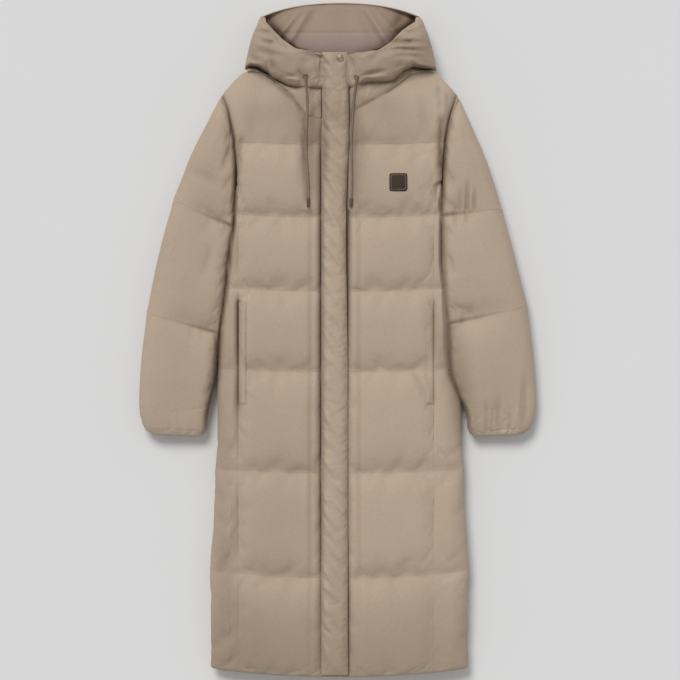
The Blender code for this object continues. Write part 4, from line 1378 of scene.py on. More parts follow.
@dataclass
class Sleeves:
    """The sleeves, laid beside the body and over its edge, with their elasticated cuffs."""

    coat: Coat
    quilts: tuple = (0, 4, 7, 9)  # rings that lie on a stitched line
    step: float = 0.005
    wrap: Wrap = Wrap(31, 12, 26)
    middle: float = 0.027
    round_depth: float = 0.030
    tip_round: float = 0.013
    clear: float = 0.002
    split_clear: float = 0.003
    upper_layer: float = 0.0100
    tip_layer: float = 0.003
    inset: float = 0.003
    cuff_rows: int = 16
    cuff_gathers: int = 13
    cuff_corner: float = 0.010
    cuff_swell: float = 0.85
    cuff_gather: tuple = (0.0008, 0.0022)  # height of its gathers, left and right
    mouth: float = 0.019  # height of the cuff's opening
    below_crest: float = 0.0045  # where the filling's swell starts
    head_reach: float = 0.004
    left_creases: tuple = (  # x, y, to_x, to_y, depth, width
        (-0.262, 0.255, -0.208, 0.213, 0.002, 0.006), (-0.215, 0.42, -0.206, 0.345, 0.004, 0.008),
        (-0.29, 0.33, -0.225, 0.3, 0.003, 0.012), (-0.245, 0.18, -0.262, 0.12, 0.003, 0.008),
    )
    right_creases: tuple = (
        (0.2535, 0.305, 0.25, 0.222, 0.006, 0.0035), (0.2395, 0.29, 0.2375, 0.232, 0.004, 0.0032),
        (0.267, 0.288, 0.265, 0.238, 0.005, 0.0034), (0.229, 0.262, 0.2285, 0.215, 0.004, 0.003),
        (0.215, 0.42, 0.205, 0.345, 0.004, 0.008), (0.258, 0.066, 0.258, 0.036, 0.003, 0.006),
        (0.29, -0.122, 0.289, -0.19, 0.005, 0.0035), (0.301, -0.13, 0.3, -0.19, 0.004, 0.0035),
        (0.313, -0.112, 0.311, -0.19, 0.005, 0.0045), (0.336, -0.135, 0.334, -0.19, 0.003, 0.004),
        (0.364, -0.07, 0.36, -0.19, 0.005, 0.006),
    )

    def section(self, side: Half, at: np.ndarray, swell: np.ndarray, lower: Number) -> tuple:
        """Return outer and inner points of the rings at these places.

        Args:
            side: which sleeve.
            at: ring numbers, as a column.
            swell: rise of the padding at each.
            lower: how far the crest starts below its final height.

        Returns:
            Two grids.
        """
        table = counted(side.rings)
        tip, inner_y, outer, outer_y, crest, tip_top = (flow(table, at, column) for column in range(1, 7))
        outer = outer - self.inset
        body = PATTERN.edge(inner_y)
        overlap = np.maximum(body - tip, 0.0)
        lies = ramp(overlap, 0.004)
        round_depth = PATTERN.edge_round(side, inner_y)
        depth = np.minimum(self.round_depth, 0.45 * (outer - tip))
        inside = outer - depth
        across = spaced(self.wrap.over, 0.5)[None, :]
        run = tip + (inside - tip) * across
        crest = np.minimum(crest, tip_top + 0.35 * (outer - tip))
        past = ramp(run - body, self.split_clear)
        body_top = np.minimum(PATTERN.edge_top(body - run, round_depth), UNDER_SLEEVE)
        on_body = lerp(body_top + self.clear, BACK_TOP + SLIT, past)
        floor = lerp(BACK_TOP + SLIT, on_body, lies)
        top = lerp(tip_top, crest - lower, lerp(swell, 1.0, 0.95 * across))
        from_tip = rounded(run - tip, self.tip_round)
        layer = lerp(self.tip_layer, self.upper_layer, from_tip) * lies
        over = np.maximum(lerp(tip_top, top, from_tip), floor + layer)
        under_tip = np.maximum(tip, np.where(overlap > 0.0, body + self.split_clear, tip))
        bottom = GROOVE * (1.0 - swell)
        tip_under = GROOVE * (1.0 + lies)
        turned, heights = self.wrap.turn(outer, depth, over[:, -1:], self.middle, bottom)
        back = inside + (under_tip - inside) * spaced(self.wrap.under, 0.4)
        below = lerp(tip_under, bottom, rounded(back - under_tip, 0.025))
        folded, fold_heights = self.wrap.fold(outer, depth)
        outer_face = joined(run, turned, back), joined(over, heights, below)
        inner_face = joined(run, folded, back), joined(floor, fold_heights, np.full_like(back, BACK_TOP))
        grids = []
        for half, height in (outer_face, inner_face):
            y = lerp(inner_y, outer_y, (half - tip) / (outer - tip))
            grids.append(grid_of(side.x(half), y, height))
        return tuple(grids)

    def sleeve(self, side: Half) -> Shell:
        """Shape one sleeve above its cuff.

        Args:
            side: which sleeve.

        Returns:
            Its shell.
        """
        run = run_along(np.array([((r.inner + r.outer) / 2, (r.inner_y + r.outer_y) / 2) for r in side.rings]))
        rows, stitched = [], []
        for low, high in zip(self.quilts, self.quilts[1:]):
            stitched.append(len(rows))
            for share in spaced(round((run[high] - run[low]) / self.step))[:-1]:
                at = np.interp(lerp(run[low], run[high], share), run, np.arange(len(run)))
                to_cuff = max(2.0 * share - 1.0, 0.0) if high == self.quilts[-1] else 0.0
                rows.append((at, max(puff(share), self.cuff_swell * (to_cuff > 0.0)), to_cuff**2))
        stitched.append(len(rows))
        rows.append((self.quilts[-1] - 0.001, self.cuff_swell, 1.0))
        at, swell, full = np.array(rows).T[..., None]
        points, inner = self.section(side, at, swell, self.below_crest * (1.0 - full))
        points, inner, added = with_hem(points, inner, (-0.5 * side.sign, 0.85, 0.0), self.head_reach)
        stitched = [row + added for row in stitched]
        over = self.wrap.over
        held = np.zeros(points.shape[:2])
        held[stitched] = held[:added] = 1.0
        held[stitched[1:-1], over * 2 // 3 : over + 4] = 0.0
        held[:, [0, 1, -1]] = 1.0
        loose = np.concatenate([np.zeros((added, 1)), np.clip(at / 1.5, 0.05, 1.0) * (1.0 - full)])
        columns = np.arange(points.shape[1])
        loose = loose * np.interp(columns, [0, 8, over - 10, over + 2], [0.2, 1.0, 1.0, 0.2])
        name, facing, filling = f"sleeve_{side.name}", (side.sign, 0, 0), Filling(reach=0.0055, slack=0.035)
        return Shell(name, points, held, inner, facing, tuple(stitched[1:-1]), filling, loose, 41 + side.sign)

    def cuff(self, side: Half) -> Shell:
        """Shape one cuff, gathered on its elastic.

        Args:
            side: which cuff.

        Returns:
            Its shell.
        """
        share = spaced(self.cuff_rows, 0.3)[:, None]
        at = lerp(float(self.quilts[-1]), 10.0, share)
        points, inner = self.section(side, at, self.cuff_swell * (1.0 - 0.6 * share**2), 0.0)
        columns = np.arange(points.shape[1]) / points.shape[1]
        rng = np.random.default_rng(61 + side.sign)
        wander = 1.3 * np.cumsum(rng.normal(0, 0.25, len(columns)))
        gathers = np.sin(2 * np.pi * self.cuff_gathers * columns + wander)
        amount = self.cuff_gather[side is RIGHT]
        rise = (amount * gathers[None, :] * share)[..., None]
        inwards = points.mean(axis=1, keepdims=True) - points
        inwards /= np.maximum(np.linalg.norm(inwards, axis=-1, keepdims=True), 1e-6)
        points = points + inwards * rise * np.array([0.4, 0.1, 1.0])
        upper = np.arange(points.shape[1]) <= self.wrap.over + self.wrap.round // 2
        lips = np.where(upper, self.mouth + 0.002, self.mouth - 0.002)
        inner[..., 2] = lerp(inner[..., 2], lips, np.clip(share * 1.3, 0.0, 1.0))
        corner = self.cuff_corner * (1.0 - np.sqrt(1.0 - ramp(share - 0.6, 0.4) ** 2))
        for grid in (points, inner):
            middle = grid[..., 0].mean(axis=1, keepdims=True)
            reach = np.abs(grid[..., 0] - middle).max(axis=1, keepdims=True)
            grid[..., 0] -= corner * (grid[..., 0] - middle) / reach
        points, inner, _ = with_hem(points, inner, DOWN, 0.005, first=False)
        held = np.zeros(points.shape[:2])
        held[0] = held[self.cuff_rows :] = 1.0
        held[:, 0] = held[:, -1] = 1.0
        loose = ramp(np.arange(len(points)), self.cuff_rows)[:, None]
        name, facing, filling = f"cuff_{side.name}", (side.sign, 0, 0), Filling(reach=0.003, slack=0.05)
        return Shell(name, points, held, inner, facing, (), filling, loose, 51 + side.sign)

    def build(self) -> None:
        """Make both sleeves and cuffs."""
        over = self.wrap.over
        for side, creases in zip(SIDES, (self.left_creases, self.right_creases)):
            shell = self.sleeve(side).swell()
            shell.soften(shell.stitched).soften(shell.stitched, 24, 9, slice(over * 2 // 5, over + 5))
            self.coat.finish_shell(shell.press(creases))
            self.coat.stitch_rows(shell, shell.stitched, slice(2, over + 5))
            cuff = self.cuff(side).swell().press(creases)
            self.coat.finish_shell(cuff, 0.5)
            self.coat.stitch_rows(cuff, (self.cuff_rows - 4,), slice(1, over + 4))


# ---- hood and collar


@dataclass
class Hood:
    """The hood: two sides, the centre panel that lies on the surface, and the lining in its mouth."""

    coat: Coat
    back_half: float = 0.075
    layer: float = 0.015
    wall: float = 0.020
    crown_y: float = 0.6562
    crown_reach: float = 0.006
    crown_top: float = 0.034
    rows: int = 58
    wrap: Wrap = Wrap(34, 14, 16)
    rim_reach: float = 0.005
    rim_swell: float = 0.010  # how far the filling brings the rim into the mouth
    edge_depth: float = 0.036  # of the round side edge
    inset: float = 0.003  # room that the filling takes up at it
    rim_drop: float = 0.012  # from the crest down to the rim
    lining_half: float = 0.150
    lining_low: float = 0.525  # lowest y of the lining
    lining_tuck: float = 0.032  # how far the lining goes below the rim
    lining_bulge: float = 0.026
    lining_thick: float = 0.0012
    table: tuple = (
        HoodRow(0.009, 0.482, 0.19, 0.525, 0.5195, 0.056), HoodRow(0.009, 0.505, 0.187, 0.538, 0.545, 0.068),
        HoodRow(0.009, 0.535, 0.182, 0.558, 0.572, 0.075), HoodRow(0.009, 0.55, 0.178, 0.574, 0.588, 0.078),
        HoodRow(0.052, 0.5505, 0.175, 0.584, 0.598, 0.077), HoodRow(0.085, 0.557, 0.172, 0.594, 0.609, 0.075),
        HoodRow(0.114, 0.576, 0.168, 0.604, 0.62, 0.071), HoodRow(0.1327, 0.594, 0.164, 0.613, 0.631, 0.065),
        HoodRow(0.1485, 0.612, 0.1605, 0.621, 0.641, 0.055),
        HoodRow(0.1512, 0.6245, 0.1565, 0.6285, 0.6505, 0.042),
    )
    creases: tuple = (  # x, y, to_x, to_y, depth, width
        (-0.076, 0.5185, -0.064, 0.5065, 0.0063, 0.0032), (-0.094, 0.503, -0.072, 0.499, -0.0044, 0.0035),
        (-0.1, 0.509, -0.08, 0.507, 0.005, 0.0035), (-0.15, 0.577, -0.118, 0.57, 0.0075, 0.005),
        (-0.168, 0.6, -0.128, 0.588, 0.005, 0.005), (-0.16, 0.557, -0.11, 0.545, 0.005, 0.007),
        (-0.175, 0.552, -0.15, 0.535, 0.0063, 0.006), (-0.128, 0.541, -0.12, 0.515, 0.0063, 0.006),
        (-0.07, 0.553, -0.04, 0.543, 0.0037, 0.005), (0.04, 0.5085, 0.092, 0.518, 0.0075, 0.0036),
        (0.052, 0.503, 0.098, 0.5075, -0.0037, 0.003), (0.092, 0.577, 0.168, 0.5715, 0.0088, 0.0042),
        (0.1, 0.566, 0.165, 0.563, -0.0025, 0.0036), (0.102, 0.559, 0.168, 0.5555, 0.0063, 0.004),
        (0.11, 0.5465, 0.172, 0.546, 0.005, 0.0045), (0.125, 0.596, 0.16, 0.59, 0.005, 0.0036),
        (0.15, 0.542, 0.176, 0.533, 0.005, 0.0045), (0.085, 0.552, 0.06, 0.533, 0.0037, 0.006),
        (0.128, 0.533, 0.11, 0.52, 0.005, 0.006),
    )
    corner: tuple = (  # painted shade at the mouth's darkest place: x, y, strength
        (0.100, 0.600, 0.25), (0.112, 0.611, 0.60), (0.119, 0.624, 0.65), (0.121, 0.636, 0.40),
    )
    folds: tuple = (  # of the lining: x, slant, width, height
        (-0.104, 0.8, 0.01, 0.012), (-0.08, 0.6, 0.009, 0.009), (0.082, -0.6, 0.01, 0.012),
        (0.106, -0.8, 0.008, 0.008), (-0.02, 0.1, 0.03, 0.003), (0.045, -0.2, 0.014, 0.004),
    )

    def crown(self, half: Number) -> np.ndarray:
        """Return y on the crown's arch."""
        return self.crown_y - 0.8 * half**2 - 14.5 * half**4

    def to_crown(self, at: np.ndarray, half: np.ndarray, y: np.ndarray) -> np.ndarray:
        """Return y brought to the crown's arch in the last rows."""
        return lerp(y, self.crown(half) - self.crown_reach, ramp(at - 7.5, 1.5))

    def with_crown(self, points: np.ndarray, inner: np.ndarray, behind: np.ndarray | bool) -> tuple:
        """Roll the crown's edge over.

        Args:
            points: grid of the outer cloth, whose last row is the crown's edge.
            inner: grid of the inner face.
            behind: which columns are behind the mouth.

        Returns:
            The two longer grids and the number of rows added.
        """
        level = inner[-1, :, 2].copy()
        inner[-1, :, 2] = np.where(behind, self.crown_top, level)
        away = np.zeros((points.shape[1], 3))
        away[:, 1] = behind
        points, inner, added = with_hem(points, inner, away, self.crown_reach, first=False)
        inner[-added - 1 :, :, 2] = level
        return points, inner, added

    @staticmethod
    def lower_edge(side: Half, half: Number) -> np.ndarray:
        """Return y along the hood's lower edge, which sags beside the drawcords."""
        return np.interp(half, *np.array(side.hood_edge).T[:2])

    def side(self, side: Half) -> Shell:
        """Shape one hood side.

        Args:
            side: which one.

        Returns:
            Its shell.
        """
        table = counted(self.table)
        at = (len(self.table) - 1.0) * spaced(self.rows, 0.35)[:, None]
        front = np.interp(at, table[:, 0], table[:, 1])
        front_y, edge, side_y, back_y, crest = (flow(table, at, column) for column in range(2, 7))
        edge = np.maximum(edge - self.inset, front + 0.002)
        depth = np.minimum(self.edge_depth, 0.7 * (edge - front))
        inside = edge - depth
        wall = np.minimum(self.wall, 0.6 * depth)
        on_rim = np.clip(at - 3.0, 0.0, 1.0)
        front = front * (1.0 - side.rim_inset * on_rim * np.clip(8.0 - at, 0.0, 1.0))
        flap = side.flap + side.sign * (ZIP_X - HOOD_X)
        front = np.maximum(front, (flap - 0.001) * (on_rim > 0.0))
        beside = lerp(np.maximum(flap + 0.002 - front, 0.002), 0.002, on_rim)
        run = front + beside + (inside - front - beside) * spaced(self.wrap.over - 1, 0.5)
        run = joined(front, run)
        low_lip = lerp(0.055, crest, rounded(run - front - beside, 0.04))
        rim_lip = crest - self.rim_drop * (1.0 - rounded(run - front, 0.05)) * ramp(depth, self.edge_depth)
        over = lerp(low_lip, rim_lip, on_rim)
        over = lerp(PATTERN.neck_top(run), over, rounded(at, 0.6))
        turned, heights = self.wrap.turn(edge, depth, over[:, -1:], crest / 2, 0.0)
        back = inside + (self.back_half + GAP - inside) * spaced(self.wrap.under, 0.3)
        layer = np.minimum(self.layer, crest / 2 - 0.002)
        top_inner = over - np.minimum(self.wall, (crest - layer) * 0.42)
        last, inset = top_inner[:, -1:], np.maximum(depth - wall, 0.0005)
        fold, fold_heights = self.wrap.turn(edge - wall, inset, last, lerp(layer, last, 0.5), layer)
        outer_face = joined(run, turned, back), joined(over, heights, np.zeros_like(back))
        below = np.broadcast_to(layer, back.shape)
        inner_face = joined(run, fold, back), joined(top_inner, fold_heights, below)
        grids = []
        upper = np.arange(outer_face[0].shape[1]) <= self.wrap.over + self.wrap.round // 2
        for half, height in (outer_face, inner_face):
            across = (half - front) / (edge - front)
            sag = self.lower_edge(side, half) - lerp(self.table[0].front_y, self.table[0].side_y, across)
            y_front = lerp(front_y, side_y, across) + sag * np.clip(1.0 - at / 2.0, 0.0, 1.0) ** 2
            y_back = lerp(side_y, back_y, (edge - half) / (edge - self.back_half))
            y = np.where(upper, y_front, self.to_crown(at, half, y_back))
            grids.append(grid_of(HOOD_X + side.sign * half, y, height))
        points, inner = self.rim(*grids, on_rim)
        behind = np.concatenate([np.zeros(points.shape[1] - len(upper), bool), ~upper])
        points, inner, added = self.with_crown(points, inner, behind)
        held = np.zeros(points.shape[:2])
        held[0] = held[-added - 1 :] = 1.0
        held[:, :6] = held[:, -1:] = 1.0
        facing, filling = (side.sign, 0, 0), Filling(reach=0.005, slack=0.04)
        return Shell(f"hood_{side.name}", points, held, inner, facing, (), filling, seed=71 + side.sign)

    def rim(self, points: np.ndarray, inner: np.ndarray, on_rim: np.ndarray) -> tuple:
        """Add the columns that roll the mouth's rim round to the inside.

        Args:
            points: grid of the outer cloth, whose first column is the rim.
            inner: grid of the inner face.
            on_rim: share of the roll that each row has.

        Returns:
            The two longer grids.
        """
        along = np.gradient(points[:, 0, :2], axis=0)
        away = np.stack([-along[:, 1], along[:, 0], np.zeros(len(along))], axis=1)
        away /= np.maximum(np.linalg.norm(away, axis=1, keepdims=True), 1e-9)
        middle = np.array([HOOD_X, 0.61])
        towards = ((middle - points[:, 0, :2]) * away[:, :2]).sum(axis=1, keepdims=True)
        away *= np.where(towards > 0.0, 1.0, -1.0) * on_rim
        return with_side_hem(points, inner, away, self.rim_reach)[:2]

    def centre(self) -> Shell:
        """Shape the centre panel, whose upper face is the hood's back layer.

        Returns:
            Its shell.
        """
        table = counted(self.table)
        at = np.linspace(0.0, len(self.table) - 1.0, 30)[:, None]
        back_y, crest = flow(table, at, 5), flow(table, at, 6)
        half = self.back_half * (2.0 * spaced(28, 0.3) - 1.0)[None, :]
        outer = grid_of(HOOD_X + half, self.to_crown(at, half, back_y), FLOOR)
        inner = raised(outer, np.minimum(self.layer, crest / 2 - 0.002))
        points, inner, added = self.with_crown(outer, inner, True)
        held = np.ones(points.shape[:2])
        held[3:-added - 3, 3:-3] = 0.0
        return Shell("hood_centre", points, held, inner, (0, 0, -1), (), Filling(reach=0.002), seed=81)

    def mouth_shade_lines(self) -> list:
        """Find the lines of painted shade inside the mouth's rim and along the crown.

        Returns:
            The lines of painted shade.
        """
        shadows = []
        for side in SIDES:
            line = []
            for number, (row, dark) in enumerate(zip(self.table[4:], side.mouth_painted_shade)):
                half = row.front * (1.0 - side.rim_inset * (number < 4)) - self.rim_swell
                line.append((HOOD_X + side.sign * half, row.front_y + 0.003, dark))
            shadows.append(PaintedShadow(tuple(line), 0.0110))
        crown = np.linspace(-0.125, 0.125, 41)
        along = zip(HOOD_X + crown, self.crown(crown) + 0.001, np.full(41, 0.24))
        return [*shadows, PaintedShadow(self.corner, 0.0110), PaintedShadow(tuple(along), 0.0080)]

    def lining(self) -> bpy.types.Object:
        """Make the lining that shows in the mouth.

        Returns:
            The piece.
        """
        half = self.lining_half * (2.0 * spaced(72, 0.2) - 1.0)[None, :]
        rim = np.array([(row.front, row.front_y) for row in self.table[3:]])
        low = np.maximum(np.interp(np.abs(half), *rim.T) - self.lining_tuck, self.lining_low)
        share = np.linspace(0.0, 1.0, 47)[:, None]
        y = lerp(low, self.crown(half) - 0.0030, share)
        x = HOOD_X + half + 0 * y
        across = half / self.lining_half
        bulge = self.lining_bulge * np.sin(np.pi * share**0.8) ** 0.7 * (1 - np.abs(across) ** 4)
        folds = 0.0
        for centre, slant, width, height in self.folds:
            away = x - centre - slant * (y - 0.60)
            folds = folds + height * bell(away, width) * np.sin(np.pi * share) ** 0.5
        bands = 0.0012 * bell(y - Slot.LINING.value.band_y, 0.003)
        slot = lerp(0.003, 0.016, ramp(np.abs(half) - 0.07, 0.05))
        at_rim = np.clip((y - low - self.lining_tuck) * 0.75 / slot, 0.0, 1.0) ** 0.7
        at_rim = np.maximum(at_rim, ramp(0.085 - np.abs(half), 0.02))
        at_crown = rounded(self.crown(half) - y - 0.003, 0.012)
        to_crown = 0.0145 * share**8 * ramp(0.95 - np.abs(across + 0.1), 0.3)
        rise = np.maximum(bulge + folds - bands * (share < 0.95), 0.0) * at_rim * at_crown
        z = self.layer + GAP + rise + to_crown
        outer = grid_of(x, y, z + self.lining_thick)
        shell = Shell("hood_lining", outer, np.ones(outer.shape[:2]), grid_of(x, y, z), (0, 0, 1))
        steps = outer[1:, 1:] - outer[:-1, :-1], outer[1:, :-1] - outer[:-1, 1:]
        log.info("lining: %.4f square metres", np.linalg.norm(np.cross(*steps), axis=-1).sum() / 2)
        # painted shade in the mouth's corners, along its rim and along the crown
        return self.coat.finish_trim(shell.paint_shade(self.mouth_shade_lines(), 0.0), Slot.LINING)

    def build(self) -> None:
        """Make the hood."""
        for side in SIDES:
            shell = self.side(side).swell().press(self.creases)
            self.seat_eyelet(shell.meet(self.coat.cords[side.name], 0.010), side)
            self.coat.finish_shell(shell)
            self.coat.stitch(shell.points[24:, 10])
        self.coat.finish_shell(self.centre().swell(), 0.5)
        lining = self.lining()

    def seat_eyelet(self, shell: Shell, side: Half) -> None:
        """Bring the cloth up or down to the eyelet's own plane.

        Args:
            shell: the hood side.
            side: which one.
        """
        middle, up = np.array(side.eyelet), np.array(side.eyelet_up)
        away = shell.points - middle
        distance = np.linalg.norm(away[..., :2], axis=-1)
        plane = middle[2] - (away[..., 0] * up[0] + away[..., 1] * up[1]) / up[2]
        share = bell(np.maximum(distance - 0.006, 0.0), 0.007)
        above = shell.points[..., 2] > MIDDLE
        shell.points[..., 2] += np.where(above, (plane - 0.0003 - shell.points[..., 2]) * share, 0.0)


@dataclass
class Collar:
    """The band between the neck seam and the hood."""

    coat: Coat
    rows: int = 16
    columns: int = 44
    end: float = 0.180  # half at the shoulder
    puff_height: float = 0.004

    def build(self) -> None:
        """Make both halves of the collar."""
        for side in SIDES:
            neck = Fronts.neck_line(side)
            neck = neck[: int(neck[:, 1].argmax()) + 1]
            half = lerp(side.flap, self.end, spaced(self.columns, 0.3))[None, :]
            y_low = np.interp(half, *neck.T[:2])
            y_high = np.maximum(Hood.lower_edge(side, half), y_low + 0.004)
            share = spaced(self.rows, 0.4)[:, None]
            y = lerp(y_low + GAP, y_high - 3 * GAP, share)
            at_flap, at_end = rounded(half - side.flap, 0.03), rounded(self.end - half, 0.03)
            swell = np.sin(np.pi * share) ** 0.6 * at_flap * at_end
            top = lerp(STITCH_TOP, PATTERN.neck_top(half), share) + self.puff_height * swell
            points = grid_of(side.x(half), y, top)
            held = np.zeros(points.shape[:2])
            held[[0, -1]] = 1.0
            held[:, [0, 1, -1]] = 1.0
            name, filling = f"collar_{side.name}", Filling(reach=0.003, slack=0.05)
            inner = raised(points, BACK_TOP + GAP)
            shell = Shell(name, points, held, inner, (0, 0, 1), (), filling, seed=91 + side.sign)
            shell.swell().soften((0,)).meet(self.coat.cords[side.name], 0.007)
            self.coat.finish_shell(shell, 0.5)


# ---- storm flap and trims


@dataclass
class StormFlap:
    """The padded flap over the zip, from the hem to the hood's lip."""

    coat: Coat
    left_x: float = -0.0315
    right_x: float = 0.020
    hem_y: float = -0.652
    top_y: float = 0.554
    edge: float = 0.007
    depth: float = 0.015
    rows: int = 330
    columns: int = 15
    gather_step: float = 0.027
    dent: float = 0.004  # depth at the stud
    dent_round: float = 0.006
    creases: tuple = (  # x, y, to_x, to_y, depth, width
        (-0.04, 0.552, -0.017, 0.528, 0.006, 0.004), (-0.028, 0.52, -0.03, 0.45, 0.003, 0.0035),
        (-0.034, 0.422, -0.016, 0.398, 0.005, 0.004), (-0.034, -0.555, -0.012, -0.575, 0.004, 0.004),
        (0.008, 0.48, 0.006, 0.43, 0.003, 0.0045),
    )
    left_sway: tuple = (  # y, and how far the edge lies to the right
        (0.36, 0.0), (0.40, 0.001), (0.45, 0.0035), (0.48, 0.002), (0.50, 0.007), (0.525, 0.003), (0.56, 0.0),
    )
    right_sway: tuple = (
        (-0.66, 0.001), (-0.30, 0.0), (0.05, -0.001), (0.15, -0.003), (0.24, -0.003), (0.30, -0.001),
        (0.36, 0.003), (0.42, 0.003), (0.50, 0.001), (0.56, 0.0),
    )

    def floor(self, y: Number) -> np.ndarray:
        """Return the height of what the flap lies on."""
        return lerp(STITCH_TOP, 0.048, ramp(y - 0.405, 0.035)) + 2 * GAP

    def gathers(self, x: np.ndarray, y: np.ndarray) -> np.ndarray:
        """Gather the flap unevenly along its length.

        Args:
            x: of each point.
            y: of each point.

        Returns:
            The rise of the slanting gathers.
        """
        rng = np.random.default_rng(7)
        across = (x - self.left_x) / (self.right_x - self.left_x)
        rise = np.zeros_like(x)
        at = self.hem_y + 0.02
        while at < self.top_y - 0.02:
            height = rng.uniform(0.0022, 0.0062)
            width = rng.uniform(0.006, 0.012)
            slant = rng.uniform(0.040, 0.085)
            centre, reach = rng.uniform(0.1, 0.9), rng.uniform(0.25, 0.6)
            rise += height * bell(y + slant * (across - 0.5) - at, width) * bell(across - centre, reach)
            at += self.gather_step * rng.uniform(0.5, 1.5)
        return rise

    def build(self) -> None:
        """Make the flap."""
        y = np.linspace(self.hem_y, self.top_y, self.rows + 1)[:, None]
        share = spaced(self.columns, 0.4)[None, :]
        left = self.left_x + 0.0015 + flow(np.array(self.left_sway), y) * 0.5
        right = self.right_x - 0.0015 + flow(np.array(self.right_sway), y)
        x = lerp(left, right, share)
        y = y + 0 * x
        from_edge = np.minimum(share, 1 - share)
        ends = rounded(y - self.hem_y, 0.03) * rounded(self.top_y - y, 0.02)
        height = lerp(self.edge, self.depth, rounded(from_edge, 0.30) * lerp(0.4, 1.0, ends))
        z = self.floor(y) + height + self.gathers(x, y) * rounded(from_edge, 0.15)
        points, inner, added = with_hem(grid_of(x, y, z), grid_of(x, y, self.floor(y)), DOWN, 0.002)
        points, inner, _ = with_hem(points, inner, (0.0, 1.0, 0.0), 0.002, False)
        points, inner, _ = with_side_hem(points, inner, (-1.0, 0.0, 0.0), 0.0015)
        points, inner, _ = with_side_hem(points, inner, (1.0, 0.0, 0.0), 0.0015, False)
        held = np.ones(points.shape[:2])
        held[added + 1 : -added - 1, added + 1 : -added - 1] = 0.0
        stud = np.linalg.norm(points[..., :2] - np.array(PressStud.middle), axis=-1)
        held[stud < 0.0075] = 1.0
        dent = self.dent * bell(np.maximum(stud - self.dent_round, 0.0), self.dent_round)
        points[..., 2] -= dent * (points[..., 2] > 0.055)
        filling = Filling(reach=0.0018, slack=0.02)
        shell = Shell("storm_flap", points, held, inner, (0, 0, 1), (), filling, seed=101)
        shell.swell().press(self.creases, 0.050)
        self.coat.finish_shell(shell, 0.6)
        for column in (added + 1, -added - 2):
            self.coat.stitch(shell.points[added + 2 : -added - 2, column])


@dataclass
class PressStud:
    """The press stud at the top of the storm flap."""

    coat: Coat
    middle: tuple = (0.005, 0.544)
    radius: float = 0.0065
    depth: float = 0.003
    steps: tuple = (  # of the cap, inwards: share of the radius, and of the depth that it rises
        (0.18, 0.12), (0.10, -0.22), (0.22, 0.12), (0.25, 0.04),
    )

    def build(self) -> None:
        """Make the domed cap with its rolled rim."""
        seat = drop(self.coat.shells["storm_flap"].tree(), *self.middle) + 0.0002
        sizes = dict(vertices=40, radius=self.radius, depth=self.depth)
        cap = add_shape("press_stud_cap", bpy.ops.mesh.primitive_cylinder_add, **sizes)
        settle(cap, (*self.middle, seat + self.depth / 2))
        select_faces(cap, lambda face: face.normal.z > 0.9)
        for inset, rise in self.steps:
            bpy.ops.mesh.inset(thickness=self.radius * inset)
            bpy.ops.transform.translate(value=(0.0, 0.0, self.depth * rise))
        bpy.ops.object.mode_set(mode="OBJECT")
        bevel(cap, self.radius * 0.06)
        self.coat.wardrobe.dress(cap, Slot.METAL, "press_stud")


@dataclass
class Eyelets:
    """The rings that the drawcords come out of."""

    coat: Coat
    hole: float = 0.0028
    radius: float = 0.0055
    depth: float = 0.0012

    def build(self) -> None:
        """Make both rings."""
        tube = (self.radius - self.hole) / 2
        sizes = {"major_segments": 48, "minor_segments": 16, "major_radius": self.hole + tube}
        for side in SIDES:
            torus = bpy.ops.mesh.primitive_torus_add
            ring = add_shape(f"eyelet_{side.name}_ring", torus, minor_radius=tube, **sizes)
            ring.scale = (1.0, 1.0, self.depth / 2 / tube)
            turn = Vector(side.eyelet_up).to_track_quat("Z", "Y")
            settle(ring, Vector(side.eyelet) + turn @ Vector((0.0, 0.0, self.depth / 2)), turn)
            ring.data.shade_smooth()
            self.coat.wardrobe.dress(ring, Slot.METAL, f"eyelet_{side.name}")


